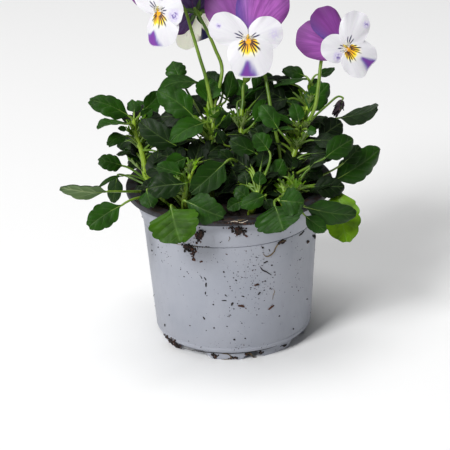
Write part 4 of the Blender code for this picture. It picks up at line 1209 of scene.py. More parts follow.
# Flowers: the place of the eye, the way the flower faces and its own upward direction, both
# as (right, up, near), and its size against a full-grown one.
BLOOMS = {
    "bloom_1": ((-33, 106.8, 32), (-0.45, -0.05, 0.9), (-0.12, 1.0, 0.1), 0.97),
    "bloom_2": ((-15.5, 106, 13), (-0.35, 0.10, -0.93), (0.05, 1.0, 0.1), 0.80),
    "bloom_3": ((11.4, 92.8, 27), (0.03, 0.0, 1.0), (0.02, 1.0, 0.05), 1.0),
    "bloom_4": ((60.7, 88.6, 28), (0.15, 0.0, 1.0), (-0.79, 0.62, 0.05), 0.95),
}

# How light each leaf is painted, in the order of the shoot's leaves. A tone holds the leaf's
# own green together with painted light and shade: low for leaves in the shade deep in the
# plant, higher for leaves that catch light and sheen. The last leaves of two shoots hardly
# show. They have no number here and get theirs by chance.
LEAF_TONES_WITH_SHADE = {
    "shoot_left": (0.40, 0.45, 0.45, 0.45, 0.50, 0.35, 0.40, 0.38, 0.25, 0.30, 0.20, 0.45,
                   0.20, 0.15),
    "shoot_front_left": (0.35, 0.40, 0.10, 0.15, 0.50, 0.35, 0.62),
    "shoot_upper_left": (0.45, 0.35, 0.45, 0.45, 0.60, 0.50, 0.30, 0.20, 0.20, 0.15),
    "shoot_centre": (0.50, 0.40, 0.30, 0.45, 0.20, 0.15, 0.15, 0.25, 0.15, 0.35, 0.20, 0.15,
                     0.25),
    "shoot_front": (0.25, 0.30, 0.15, 0.30, 0.35, 0.25, 0.40, 0.40),
    "shoot_right": (0.35, 0.40, 0.35, 0.25, 0.25, 0.50, 0.50, 0.20, 0.50, 0.45, 0.45, 0.30,
                    0.05, 0.40),
    "shoot_front_right": (0.35, 0.40, 0.30, 0.35, 0.82),
}

# Shoots behind the stems: foot (x, y), height, lean away from the axis, leaf count, the
# compass turn of the first leaf, and the seed of its small differences.
BACK_SHOOTS = {
    "shoot_back_left": (-25.0, 17.0, 26.0, 0.35, 9, 120.0, 1),
    "shoot_back": (5.0, 30.0, 28.0, 0.30, 10, 36.0, 1),
    "shoot_back_right": (28.0, 17.0, 26.0, 0.35, 9, 204.0, 5),
    "shoot_middle": (-5.0, 8.0, 31.0, 0.05, 4, 84.0, 2),
}
GOLDEN_TURN = 137.508

# Their leaves: each pair is the value at the shoot's foot and its change up to the top, in
# the steepness of a stalk, its length and its blade's length.
CLIMB = (0.5, 0.6)
STALK_REACH = (15.0, -7.0)
BLADE_LENGTH = (22.5, -6.5)
BLADE_SHAPE = (0.62, 0.76)
BLADE_DROOP = 0.55
BLADE_BOW = 0.10
BLADE_ROLL = 20.0
print("leaves read off the picture:", sum(len(plan["leaves"]) for plan in SHOOTS.values()))

# %% [markdown]
# What is green on a flower grows from its shoot: the long stalk, the star of five pointed
# sepals behind the petals, and the spur, a hollow horn that gives this violet its name. They
# could be pieces of their own, but made with the shoot they can't come loose from it. A bud
# is a drop wrapped in sepals.

# %% The green parts of a flower
NECK = 5.0
# the spur's course, as how far behind and below the heart it runs, and its radius
SPUR = ((1.4, 0.0, 1.1), (2.6, 0.0, 1.5), (4.2, 0.1, 1.7), (6.0, 0.6, 1.2), (7.5, 1.0, 1.1),
        (9.5, 0.8, 1.0), (11.0, 0.5, 0.75), (11.7, 0.4, 0.3))
SEPAL_LENGTH = 9.0
SEPAL_WIDTH = 3.0
SEPAL_TONE = 0.08
CALYX_BACK = 3.6
CALYX_LEAN = -1.8
BUD_CALYX = 0.28
BUD_LEAN = 4.6
WITHERED_STALK = 0.65
# a bud's course, as how far ahead of its stalk's end it runs, and its radius
BUD = ((-0.5, 0.6), (0.4, 1.3), (1.5, 1.9), (3.0, 1.95), (4.4, 1.55), (5.6, 0.9), (6.3, 0.3))


def flower_axes(facing, upward):
    """Return a flower's right, up and facing directions."""
    face = EYE_RIGHT * facing[0] + EYE_UP * facing[1] + TO_EYE * facing[2]
    face.normalize()
    up = EYE_RIGHT * upward[0] + EYE_UP * upward[1] + TO_EYE * upward[2]
    up = (up - face * up.dot(face)).normalized()
    return up.cross(face), up, face


def add_sepals(blades, centre, right, up, face, size, lean, draw):
    """Add five pointed sepals round a place, their tips leaning back or forward."""
    for step in range(5):
        turn = math.radians(90 + 72 * step + draw.uniform(-8, 8))
        out = right * math.cos(turn) + up * math.sin(turn)
        tip = centre + out * SEPAL_LENGTH * size + face * lean
        habit = leaf_habit(draw, 2.0)
        habit.update({"teeth": 1, "depth": 0.0, "widest": 0.62, "blunt": 0.9, "wave": 0.02})
        blades.append(bend_blade(SMALL_GRID, centre + out * 0.4, tip, SEPAL_WIDTH * size, 0.0,
                                 0.05, face, habit, SEPAL_TONE))


def add_flower_stalk(flower, root, places, blades, courses, draw):
    """Add a flower's or bud's stalk to its shoot, with what is green behind the petals."""
    course = [root] + [seen(place) for place in places]
    if flower in BLOOMS:
        place, facing, upward, size = BLOOMS[flower]
        right, up, face = flower_axes(facing, upward)
        heart = seen(place)
        course.append(heart - face * NECK)
        spur = [heart - face * behind - up * low for behind, low, _ in SPUR]
        courses.append((spur, [radius for _, _, radius in SPUR]))
        add_sepals(blades, heart - face * CALYX_BACK, right, up, face, size, CALYX_LEAN, draw)
    else:
        onward = (course[-1] - course[-2]).normalized()
        right = onward.orthogonal().normalized()
        add_sepals(blades, course[-1], right, onward.cross(right), onward, BUD_CALYX, BUD_LEAN,
                   draw)
        if "bud" in flower:
            bud = [course[-1] + onward * ahead for ahead, _ in BUD]
            courses.append((bud, [radius for _, radius in BUD]))
    line = smooth_course(course, 5)
    count = len(line) - 1
    base = WITHERED_STALK if flower == "withered_flower" else 1.0
    courses.append((line, [base * (1.0 - 0.3 * index / count) for index in range(count + 1)]))


def stem_course(foot, stem):
    """Return a stem's course from a place in the soil up through its layout."""
    x, y = foot
    start = Vector((x, y, STEM_CLEAR))
    line = smooth_course([start] + [seen(place) for place in stem], 4)
    return [Vector((x, y, STEM_FOOT))] + line


def stem_radii(course):
    """Return a stem's radius at each point, thinner towards the top."""
    count = len(course) - 1
    return [STEM_RADIUS * (1.0 - STEM_TAPER * index / count) for index in range(count + 1)]


print("flowers:", len(BLOOMS), "stalks:", len(FLOWER_STALKS))

# %% [markdown]
# ## The shoots
# Each shoot is grown from its line in the layout. Stipules stand where a leaf's stalk leaves
# the stem. Between the shoots the real plant is a dark mass of leaves. Painting it dark would
# leave holes in the outline, so each shoot gets more leaves deep inside, in the shade, and
# their near-black tone is painted shade.

# %% Grow the shoots that face the front
LEAFY_OUTLINE = [(-58, 38), (-52, 60), (-38, 63), (-30, 74), (0, 76), (30, 75), (44, 68),
                 (48, 52), (60, 46), (72, 36), (64, 12), (40, 0), (-38, 8), (-50, 26)]
FILL_LEAVES = 32
FILL_NEAREST = 26.0
FILL_LOWEST = 84.0
FILL_ROLL = 35.0
# the highest tone of a fill leaf: near black, painted shade
FILL_SHADE_TONE = 0.12
STIPULES_UP_TO = 0.86
FRONT_STIPULE = 9.5
BACK_STIPULE = 7.0


def layout_of(point):
    """Turn a point of the model back into its layout place."""
    offset = point - LAYOUT_CENTRE
    near = offset.dot(TO_EYE)
    spread = (EYE_DISTANCE - near) / PLANE_DISTANCE
    return offset.dot(EYE_RIGHT) / spread, offset.dot(EYE_UP) / spread, near


def within(outline, right, up):
    """Tell whether a place lies inside an outline, by counting the edges to its right."""
    inside = False
    for (x1, y1), (x2, y2) in zip(outline, outline[1:] + outline[:1]):
        if (y1 > up) != (y2 > up) and right < x1 + (x2 - x1) * (up - y1) / (y2 - y1):
            inside = not inside
    return inside


def fill_in(blades, courses, course, draw):
    """Add leaves deep inside the plant, painted near black as shade, where only their dark mass
    shows.
    """
    added = 0
    while added < FILL_LEAVES:
        root = along_course(course, draw.uniform(0.1, 0.9))
        turn = draw.uniform(0.0, math.tau)
        spread = Vector((math.cos(turn), math.sin(turn), draw.uniform(0.1, 1.1))).normalized()
        heel = root + spread * draw.uniform(7.0, 13.0)
        length = draw.uniform(11.0, 18.0)
        tip = heel + (spread - Vector((0, 0, draw.uniform(0.1, 0.7)))).normalized() * length
        right, up, near = layout_of(tip)
        if near > FILL_NEAREST or tip.z < FILL_LOWEST or not within(LEAFY_OUTLINE, right, up):
            continue
        face = Vector((0, -0.5, 1)) + spread * 0.3
        width = length * draw.uniform(0.58, 0.74)
        roll = draw.uniform(-FILL_ROLL, FILL_ROLL)
        # a near-black tone: painted shade for a leaf deep in the plant
        tone = draw.uniform(0.0, FILL_SHADE_TONE)
        add_leaf(blades, courses, root, heel, tip, width, roll, BLADE_BOW, face, draw, tone)
        added += 1


def grow_front_shoot(name, plan, seed):
    """Make one shoot that was read off the picture."""
    draw = random.Random(seed)
    blades = []
    course = stem_course(plan["foot"], plan["stem"])
    courses = [(course, stem_radii(course))]
    tones = LEAF_TONES_WITH_SHADE[name]
    for index, (share, heel, tip, width, turn, bow) in enumerate(plan["leaves"]):
        chance_tone = 0.10 + 0.5 * draw.random() ** 1.5
        tone = tones[index] if index < len(tones) else chance_tone
        root = along_course(course, share)
        add_leaf(blades, courses, root, seen(heel), seen(tip), width, turn, bow, TO_EYE, draw,
                 tone)
        if index % 2 == 0 and share < STIPULES_UP_TO:
            add_stipules(blades, root, draw, FRONT_STIPULE)
    fill_in(blades, courses, course, draw)
    for flower, (shoot, share, places) in FLOWER_STALKS.items():
        if shoot == name:
            add_flower_stalk(flower, along_course(course, share), places, blades, courses, draw)
    shoot = join_shoot(name, blades, courses)
    finish_piece(shoot, "leaf", name)


for seed, (name, plan) in enumerate(SHOOTS.items(), start=11):
    grow_front_shoot(name, plan, seed)

# %% [markdown]
# At the back nothing was seen. Copies of the front shoots, turned round, would look like
# copies. So these shoots follow the plant's own rule: each leaf stands a golden angle further
# round the stem than the one below it, steeper and on a shorter stalk.

# %% Grow the shoots at the back
def grow_back_shoot(name, plan):
    """Make one shoot whose leaves are set round it by the golden angle."""
    x, y, height, lean, count, first, seed = plan
    draw = random.Random(seed)
    outward = Vector((x, y, 0.0)).normalized()
    ground = Vector((x, y, STEM_CLEAR))
    rise = [ground]
    for step in (0.4, 0.75, 1.0):
        rise.append(ground + outward * (lean * height * step * step)
                    + Vector((0, 0, height * step)))
    course = [Vector((x, y, STEM_FOOT))] + smooth_course(rise, 4)
    blades = []
    courses = [(course, stem_radii(course))]
    for index in range(count):
        share = 0.12 + 0.86 * index / (count - 1)
        turn = math.radians(first + GOLDEN_TURN * index)
        spread = Vector((math.cos(turn), math.sin(turn), 0.0))
        root = along_course(course, share)
        climb = CLIMB[0] + CLIMB[1] * share + draw.uniform(-0.1, 0.1)
        reach = STALK_REACH[0] + STALK_REACH[1] * share + draw.uniform(-2.0, 2.0)
        length = BLADE_LENGTH[0] + BLADE_LENGTH[1] * share + draw.uniform(-2.0, 2.0)
        heel = root + (spread + Vector((0, 0, climb))).normalized() * reach
        tip = heel + (spread + Vector((0, 0, climb - BLADE_DROOP))).normalized() * length
        width = length * draw.uniform(*BLADE_SHAPE)
        roll = draw.uniform(-BLADE_ROLL, BLADE_ROLL)
        tone = 0.12 + 0.5 * draw.random() ** 1.3
        face = Vector((0, 0, 1)) + spread * 0.4
        add_leaf(blades, courses, root, heel, tip, width, roll, BLADE_BOW, face, draw, tone)
        if share < STIPULES_UP_TO:
            add_stipules(blades, root, draw, BACK_STIPULE)
    shoot = join_shoot(name, blades, courses)
    finish_piece(shoot, "leaf", name)


for name, plan in BACK_SHOOTS.items():
    grow_back_shoot(name, plan)
for master in (LARGE_GRID, SMALL_GRID, LOBED_GRID):
    bpy.data.objects.remove(master)

# %% [markdown]
# ## The flowers
# A petal spreads like a fan from the throat. It could be a leaf blade made wider, but the
# lines of a leaf run across it. So the petal's grid is bent to have one direction run out
# from the throat while the other goes round the edge. Lines drawn on that map run outwards
# by themselves: the dark whiskers that show insects the way, and the streaks of colour in the
# violet petals.

# %% Bend one petal
PETAL_THICKNESS = 0.35
PETAL_GRID = flat_grid("petal_grid", 44, 18)


def fan_edge(s, length, width, outline):
    """Return the outer edge of a petal, as distances across and along, for each way s."""
    widest, boxy, base = outline
    fan = np.pi * base * np.abs(s)
    x = width / 2 * np.sin(fan) ** boxy * np.sign(s)
    return x, length * ((1.0 + np.cos(fan)) / 2.0) ** widest


def bend_petal(frame, plan, draw):
    """Bend a copy of the petal grid into one petal that spreads from the throat."""
    heart, right, up, face = frame
    turn = math.radians(plan["angle"])
    along = right * math.cos(turn) + up * math.sin(turn)
    across = along.cross(face)
    length = plan["length"]
    width = plan["width"]
    grid = points_of(PETAL_GRID)
    s = grid[:, 0]
    r = 0.05 + 0.95 * (grid[:, 1] + 1.0) / 2.0
    phase = draw.uniform(0.0, math.tau)
    # the outline, with its notch and a faint ripple, drawn in towards the throat
    x, y = fan_edge(s, length, width, plan["outline"])
    x = x * (1.0 + plan.get("skew", 0.0) * np.sign(s))
    y = y - length * plan.get("notch", 0.0) * np.exp(-(s / 0.12) ** 2)
    ripple = 1.0 + 0.009 * np.sin(9.0 * s + phase) + 0.006 * np.sin(23.0 * s + 2.0 * phase)
    x = x * r * ripple
    y = y * r * ripple
    # the lift: its place in the flower, soft waves, a raised middle, and a fold in some petals
    lift = plan["rise"] - plan["back"] * r ** 2 + 0.45 * r * np.sin(3.1 * s + plan["angle"])
    lift += 0.40 * r ** 3 * np.sin(11.0 * s + phase) + 0.18 * r ** 4 * np.sin(24.0 * s + phase)
    lift += 0.6 * np.sin(np.pi * r) * np.exp(-(s / 0.6) ** 2)
    lift += plan.get("fold", 0.0) * np.abs(s) * r
    points = (np.outer(x, across) + np.outer(y, along) + np.outer(lift, face)
              + np.array(heart))
    chart = (s - plan.get("shift", 0.0) * r + 1.0) / 2.0
    petal = shaped(PETAL_GRID, points, chart, r, plan.get("tone", 0.5))
    spot = np.zeros(len(s))
    if "stain" in plan:
        side, out, spread, strength = plan["stain"]
        edge = np.array(fan_edge(np.array([side]), length, width, plan["outline"]))[:, 0] * out
        spot = strength * np.exp(-((x - edge[0]) ** 2 + (y - edge[1]) ** 2) / spread ** 2)
    mark = petal.data.attributes.new("stain", "FLOAT", "POINT")
    mark.data.foreach_set("value", spot.astype(np.float32))
    return petal


print("petal grid:", len(PETAL_GRID.data.vertices), "points")

# %% [markdown]
# The finishes of the petals read that map: the distance from the throat is one number, the
# way round the fan the other. Whiskers are short streaks at fixed ways round the fan that
# fade out. The blotch on the lip is a wedge that widens outwards. An image could carry them,
# but lines that come from two numbers are easy to move and stay sharp. Petals let a little light
# through, which keeps them from looking like plaster. The backs of the white ones also get
# a faint painted glow, an emission that stands in for the daylight that shines through from
# the front.

# %% Finishes of the petals
# strength of the painted glow: emission on the white petals' backs in place of light shining
# through
PAINTED_GLOW_STRENGTH = 0.36
FRONT_GLOW = 0.2
BACK_GLOW = 0.6
WEDGE_START = 0.47


def petal_base(name, colour, glow=FRONT_GLOW):
    """Start a petal finish: its map, a fine grain that runs outwards, and a soft glow."""
    finish = Finish(name, 0.55, colour)
    across, out = finish.across_and_along()
    finish.set("Subsurface Weight", glow)
    finish.set("Subsurface Radius", (0.002, 0.0015, 0.002))
    finish.set("Sheen Weight", 0.15)
    streaks = finish.noise(finish.place((26.0, 1.6, 1.0), "UV"), 1.0, 3.0, 0.6)
    finish.relief(streaks, 0.22, 0.0004)
    return finish, across, out, streaks


def whiskers(finish, across, out, places, width, start, middle=1.0):
    """Draw dark lines out from the throat, each (way round the fan, reach)."""
    total = 0.0
    for place, reach in places:
        width_here = width * min(1.0, middle + 2.2 * abs(place))
        gap = finish.number("ABSOLUTE", finish.minus(across, place))
        gap = finish.times(gap, out)
        line = finish.step(gap, width_here * 0.45, width_here, 1.0, 0.0)
        line = finish.times(line, finish.step(out, reach * 0.8, reach, 1.0, 0.0))
        total = finish.number("MAXIMUM", total, line)
    return finish.times(total, finish.step(out, start * 0.7, start))


def violet_front(name, blue_side):
    """Make an upper petal's front: blue at the throat, magenta streaks, a dark margin."""
    finish, across, out, streaks = petal_base(name, "#8a3fa0")
    edge = finish.number("ABSOLUTE", across)
    margin = finish.times(finish.step(out, 0.66, 1.0), finish.step(edge, 0.0, 0.9, 0.7, 1.0))
    tone = finish.attribute("tone")
    colour = finish.mix(tone, "#7a2f88", "#ab58b4")
    colour = finish.mix(finish.step(streaks, 0.36, 0.62, 0.0, 0.6), colour, "#6c2478")
    colour = finish.mix(finish.times(margin, 0.8), colour, "#5c1a68")
    colour = finish.mix(finish.step(out, 0.12, 0.45, 0.8, 0.0), colour, "#6a48a0")
    colour = finish.mix(finish.step(across, -0.80, -0.08, blue_side, 0.0), colour, "#4e3792")
    finish.set("Base Color", colour)
    return finish.material


def violet_back():
    """Make the upper petals' backs: duller and paler, with darker veins."""
    finish, _, out, streaks = petal_base("violet_back", "#6a4a88")
    colour = finish.mix(finish.step(streaks, 0.35, 0.65), "#6f5790", "#55346f")
    colour = finish.mix(finish.step(out, 0.6, 1.0, 0.0, 0.7), colour, "#5a1a6a")
    finish.set("Base Color", colour)
    return finish.material


def white_with_marks(name, marks):
    """Make a white petal with whiskers, a yellowish throat and a stain in places."""
    finish, across, out, streaks = petal_base(name, "#efeef2")
    colour = finish.mix(finish.step(streaks, 0.40, 0.72, 0.0, 0.3), "#dedde1", "#cac7d5")
    stain = finish.attribute("stain")
    blots = finish.noise(finish.place(), 900.0, 3.0, 0.6)
    rough = finish.times(stain, finish.step(blots, 0.30, 0.60, 0.35, 1.15))
    colour = finish.mix(finish.step(rough, 0.05, 0.6, 0.0, 0.45), colour, "#b9a8e0")
    colour = finish.mix(finish.step(rough, 0.55, 1.1, 0.0, 0.85), colour, "#5a3f9c")
    colour = finish.mix(finish.step(out, 0.08, 0.26, 0.75, 0.0), colour, "#f3ecc4")
    lines = whiskers(finish, across, out, marks, 0.017, 0.15)
    colour = finish.mix(lines, colour, "#1c1450")
    finish.set("Base Color", colour)
    return finish.material


LIP_WHISKERS = ((-0.78, 0.46), (-0.58, 0.50), (-0.41, 0.55), (-0.26, 0.46), (-0.13, 0.52),
                (0.02, 0.40), (0.15, 0.52), (0.28, 0.45), (0.41, 0.55), (0.58, 0.50),
                (0.78, 0.44))


def lip_front():
    """Make the lip: yellow eye, whiskers, and a violet wedge that frays at its sides."""
    finish, across, out, streaks = petal_base("lip_front", "#efeef2")
    edge = finish.number("ABSOLUTE", across)
    colour = finish.mix(finish.step(streaks, 0.40, 0.72, 0.0, 0.25), "#dedde1", "#ccc9d6")
    wobble = finish.times(finish.minus(streaks, 0.5), 0.07)
    flare = finish.times(finish.attribute("tone"), 0.42)
    half = finish.times(finish.minus(out, WEDGE_START), flare)
    inside = finish.minus(finish.minus(half, edge), wobble)
    wedge = finish.step(inside, -0.055, 0.03)
    wedge = finish.times(wedge, finish.step(out, 0.50, 0.62))
    wedge = finish.times(wedge, finish.step(out, 0.95, 0.985, 1.0, 0.15))
    core = finish.step(inside, -0.02, 0.06)
    violet = finish.mix(core, "#5a4aa6", "#78329a")
    colour = finish.mix(wedge, colour, violet)
    halo = finish.step(out, 0.32, 0.54, 1.0, 0.0)
    halo = finish.times(halo, finish.step(edge, 0.4, 1.0, 0.8, 0.3))
    colour = finish.mix(halo, colour, "#fdf7c8")
    fray = finish.times(finish.minus(streaks, 0.5), 0.3)
    yolk = finish.minus(out, finish.times(edge, 0.06))
    yolk = finish.number("ADD", yolk, fray)
    colour = finish.mix(finish.step(yolk, 0.33, 0.41, 1.0, 0.0), colour, "#ffe02a")
    colour = finish.mix(finish.step(yolk, 0.20, 0.33, 1.0, 0.0), colour, "#ffb400")
    lines = whiskers(finish, across, out, LIP_WHISKERS, 0.021, 0.15, 0.2)
    colour = finish.mix(lines, colour, "#1c0a24")
    finish.set("Base Color", colour)
    return finish.material


def painted_glow(finish, colour, shade):
    """Give a white petal's back its colour, and a painted glow for light shining through, except
    on its marks.
    """
    finish.set("Base Color", colour)
    finish.set("Emission Color", finish.mix(shade, "#efeedd", "#000000"))
    finish.set("Emission Strength", PAINTED_GLOW_STRENGTH)


def white_back():
    """Make the backs of the white petals: cream, and green towards the throat."""
    finish, _, out, streaks = petal_base("white_back", "#f2f1e6", BACK_GLOW)
    green = finish.step(out, 0.05, 0.55, 0.7, 0.0)
    colour = finish.mix(finish.step(streaks, 0.35, 0.65), "#fbfaf0", "#ecedde")
    # The cream back gets a painted glow for the light that shines through, except towards the
    # green throat.
    painted_glow(finish, finish.mix(green, colour, "#b9c486"), green)
    return finish.material


def lip_back():
    """Make the lip's back, with the wedge showing through in navy."""
    finish, across, out, streaks = petal_base("lip_back", "#f2f1e6", BACK_GLOW)
    edge = finish.number("ABSOLUTE", across)
    colour = finish.mix(finish.step(streaks, 0.35, 0.65), "#fbfaf0", "#ecedde")
    half = finish.times(finish.minus(out, WEDGE_START), 0.34)
    inside = finish.minus(half, edge)
    wedge = finish.times(finish.step(inside, -0.05, 0.06), finish.step(out, 0.5, 0.6))
    # The cream back gets a painted glow for the light that shines through, except on the navy
    # wedge.
    painted_glow(finish, finish.mix(wedge, colour, "#2c2c68"), wedge)
    return finish.material


SIDE_MARKS = ((-0.26, 0.34), (-0.02, 0.38), (0.24, 0.34))
VIOLET_BACK = violet_back()
VIOLET_PAIR = (violet_front("violet_far", 0.0), VIOLET_BACK)
NEAR_PAIR = (violet_front("violet_near", 0.85), VIOLET_BACK)
SIDE_PAIR = (white_with_marks("side_front", SIDE_MARKS), white_back())
LIP_PAIR = (lip_front(), lip_back())
print("petal finishes:", [made.name for made in VIOLET_PAIR + NEAR_PAIR + SIDE_PAIR + LIP_PAIR])

# %% [markdown]
# A flower has five petals: two violet ones behind, two white ones at the sides, and the
# broad lip below. Each is written with the direction in which it points from the flower's
# right (in degrees), its length and width, how high it starts at the throat, and how far
# its edge leans back. Flowers that were seen well get petals of their own.

# %% Set the petals of each flower
ROUND = (0.85, 0.9, 0.88)
BROAD = (1.02, 0.70, 0.93)
EGG = (0.70, 0.85, 0.90)


def petal_plan(kind, angle, length, width, **changes):
    """Write one petal's plan: its kind's depths and outline, with the changes given."""
    depths = {
        "far": {"rise": -2.2, "back": 2.2, "outline": EGG},
        "near": {"rise": -1.0, "back": 0.6, "outline": EGG},
        "side": {"rise": 0.35, "back": 0.2, "outline": ROUND},
        "lip": {"rise": 0.55, "back": 1.1, "outline": BROAD, "notch": 0.03},
    }
    return {"kind": kind, "angle": angle, "length": length, "width": width,
            **depths[kind], **changes}


PETALS = {
    "bloom_1": [
        petal_plan("far", 118, 29, 23, tone=0.6),
        petal_plan("near", 63, 29, 23, tone=0.4),
        petal_plan("side", 126, 19.5, 14.0),
        petal_plan("side", -4, 13.6, 15.5, stain=(0.17, 0.68, 2.6, 1.2)),
        petal_plan("lip", -99, 17.6, 17.4, shift=0.19, skew=-0.30, tone=1.1),
    ],
    "bloom_2": [
        petal_plan("far", 118, 24, 19, tone=0.2),
        petal_plan("near", 63, 24, 19, tone=0.2),
        petal_plan("near", -41, 15.0, 9.5, tone=0.0, rise=-1.6, fold=2.5),
        petal_plan("side", 152, 15, 13),
        petal_plan("side", -75, 18.8, 13, rise=-0.3),
        petal_plan("lip", -110, 14.5, 15, shift=0.12),
    ],
    "bloom_3": [
        petal_plan("far", 119, 30, 25, tone=0.2),
        petal_plan("near", 68, 31, 26, tone=1.0),
        petal_plan("side", 155, 20.8, 15.8, stain=(-0.02, 0.76, 1.1, 1.4)),
        petal_plan("side", 20, 17.6, 16.8, stain=(0.10, 0.76, 3.2, 0.5)),
        petal_plan("lip", -86, 19.4, 22.4, outline=(1.5, 0.64, 0.95), tone=0.40,
                   skew=-0.08, shift=0.03, rise=1.4, back=0.4),
    ],
    "bloom_4": [
        petal_plan("far", 111, 25, 19.5, tone=0.65, outline=ROUND),
        petal_plan("near", 76, 24.0, 14.8, tone=0.05, outline=(0.55, 1.0, 0.95)),
        petal_plan("side", 132, 13.0, 14.2, outline=(1.3, 0.95, 0.95),
                   stain=(-0.41, 0.61, 2.2, 1.0)),
        petal_plan("side", 16, 19.2, 15, stain=(0.28, 0.86, 1.7, 1.0)),
        petal_plan("lip", -90, 16.6, 18.5, notch=0.08, tone=0.42, shift=-0.06),
    ],
}


def set_petals(bloom, seed):
    """Make a flower's petals as two pieces: the violet pair and the white three."""
    draw = random.Random(seed)
    place, facing, upward, _ = BLOOMS[bloom]
    frame = (seen(place), *flower_axes(facing, upward))
    finishes = {"far": VIOLET_PAIR, "near": NEAR_PAIR, "side": SIDE_PAIR, "lip": LIP_PAIR}
    layers = {"violet": [], "white": []}
    for plan in PETALS[bloom]:
        petal = bend_petal(frame, plan, draw)
        pair = finishes[plan["kind"]]
        for finish in pair:
            petal.data.materials.append(finish)
        thicken(petal, PETAL_THICKNESS)
        smooth(petal, 60)
        layers["violet" if VIOLET_BACK in pair else "white"].append(petal)
    finish_piece(joined(bloom + "_violet_pair", layers["violet"]), "violet_petal",
                 bloom + "_upper_petals")
    finish_piece(joined(bloom + "_white_three", layers["white"]), "white_petal",
                 bloom + "_lower_petals")


for seed, bloom in enumerate(BLOOMS, start=31):
    set_petals(bloom, seed)
bpy.data.objects.remove(PETAL_GRID)

# %% [markdown]
# In the throat sits the head of the pistil, a small green-yellow knob that hangs over the
# orange mouth of the spur. White hairs stand at the inner ends of the side petals. Balls
# would look like beads here, so knob and mouth are short bent tubes that swell and thin out.

# %% The heart of each flower
def throat_finish(name, roughness, fineness, first, second):
    """Make a colour of the throat that changes a little from spot to spot."""
    finish = Finish(name, roughness)
    clouds = finish.noise(finish.place(), fineness, 2.0)
    finish.set("Base Color", finish.mix(finish.step(clouds, 0.4, 0.6), first, second))
    return finish.material


def hair_finish():
    """Make the white hairs."""
    finish = Finish("white_hair", 0.5, "#f3f2ee")
    finish.relief(finish.noise(finish.place(), 2000.0, 1.0), 0.1, 0.0001)
    return finish.material


PISTIL = throat_finish("pistil", 0.4, 700.0, "#d8a828", "#a89a40")
MOUTH = throat_finish("orange_mouth", 0.5, 900.0, "#ffc400", "#ffb000")
HAIR = hair_finish()
# how far above and ahead of the heart each point of a tube lies, and its radius there
KNOB = ((2.6, 0.3, 0.3), (1.9, 0.9, 0.45), (1.1, 1.3, 0.7), (0.5, 1.3, 0.6), (0.2, 1.0, 0.2))
LIPS = ((0.9, 0.1, 0.5), (0.2, 0.4, 0.85), (-0.9, 0.5, 0.95), (-2.1, 0.3, 0.4))
HAIRS_A_SIDE = 26


def make_heart(bloom, seed):
    """Make the pistil's knob, the orange mouth and the beard of a flower."""
    draw = random.Random(seed)
    place, facing, upward, _ = BLOOMS[bloom]
    right, up, face = flower_axes(facing, upward)
    heart = seen(place)
    pieces = []
    for name, line, finish in (("knob", KNOB, PISTIL), ("mouth", LIPS, MOUTH)):
        course = [heart + up * above + face * ahead for above, ahead, _ in line]
        pieces.append(tubes(name, [(course, [radius for _, _, radius in line])], finish))
    hairs = []
    for side in (-1, 1):
        for _ in range(HAIRS_A_SIDE):
            root = (heart + right * side * draw.uniform(1.2, 3.0) + up * draw.uniform(-0.6, 1.9)
                    + face * draw.uniform(0.7, 1.3))
            tip = root - right * side * draw.uniform(0.4, 1.2) + face * draw.uniform(0.7, 1.5)
            tip += up * draw.uniform(-0.5, 0.5)
            hairs.append(([root, root.lerp(tip, 0.6) + up * 0.1, tip], [0.12, 0.10, 0.05]))
    pieces.append(tubes("beard", hairs, HAIR, resolution=0))
    parts = joined(bloom + "_heart", pieces)
    smooth(parts, 60)
    finish_piece(parts, "eye", bloom + "_eye")


for seed, bloom in enumerate(BLOOMS, start=41):
    make_heart(bloom, seed)

# %% [markdown]
# One flower has withered: its petals have collapsed to a dark crumpled rag that hangs from
# the stalk. A cloth simulation could crumple it, but for so small a thing strips of a grid,
# rolled round one line and creased by sines, look the same.

# %% The withered flower
RAG_TOP = (58.4, 62.4, 8)
RAG_END = (54.1, 53.4, 8)
RAG_STRIPS = 5


def withered_finish():
    """Make the dried petals: nearly black violet, brown in places."""
    finish = Finish("withered_petal", 0.7)
    clouds = finish.noise(finish.place(), 500.0, 4.0, 0.65)
    colour = finish.mix(finish.step(clouds, 0.35, 0.6), "#1a0e1c", "#33202a")
    colour = finish.mix(finish.step(clouds, 0.60, 0.75, 0.0, 0.8), colour, "#6b5238")
    finish.set("Base Color", colour)
    finish.relief(clouds, 0.6, 0.0006)
    return finish.material


def make_withered_flower():
    """Roll creased strips round the line on which the dead flower hangs."""
    draw = random.Random(5)
    rag = flat_grid("rag_grid", 10, 24)
    top = seen(RAG_TOP)
    axis = seen(RAG_END) - top
    down = axis.normalized()
    first = down.orthogonal().normalized()
    second = down.cross(first)
    grid = points_of(rag)
    strips = []
    s = grid[:, 0]
    u = (grid[:, 1] + 1.0) / 2.0
    for strip in range(RAG_STRIPS):
        phase = draw.uniform(0.0, math.tau)
        start = math.tau * strip / RAG_STRIPS
        turn = start + s * 0.9 + 2.2 * u
        body = 0.5 + 1.4 * np.sin(np.pi * np.clip(u * 1.25, 0, 1)) ** 0.8 + 1.5 * u ** 4
        crease = 0.45 * np.sin(6.0 * s + 9.0 * u + phase) * u
        crease += 0.35 * np.sin(15.0 * u + 4.0 * s + phase)
        radius = (body + crease) * draw.uniform(0.5, 1.1)
        reach = u * axis.length * (draw.uniform(0.62, 1.08) + 0.10 * np.sin(7.0 * s))
        points = (np.outer(reach, down) + np.outer(radius * np.cos(turn), first)
                  + np.outer(radius * np.sin(turn), second) + np.array(top))
        strips.append(shaped(rag, points, (s + 1) / 2, u, 0.5))
    bpy.data.objects.remove(rag)
    crumpled = joined("withered_rag", strips)
    crumpled.data.materials.append(withered_finish())
    thicken(crumpled, PETAL_THICKNESS)
    smooth(crumpled, 50)
    finish_piece(crumpled, "withered", "withered_flower")


make_withered_flower()

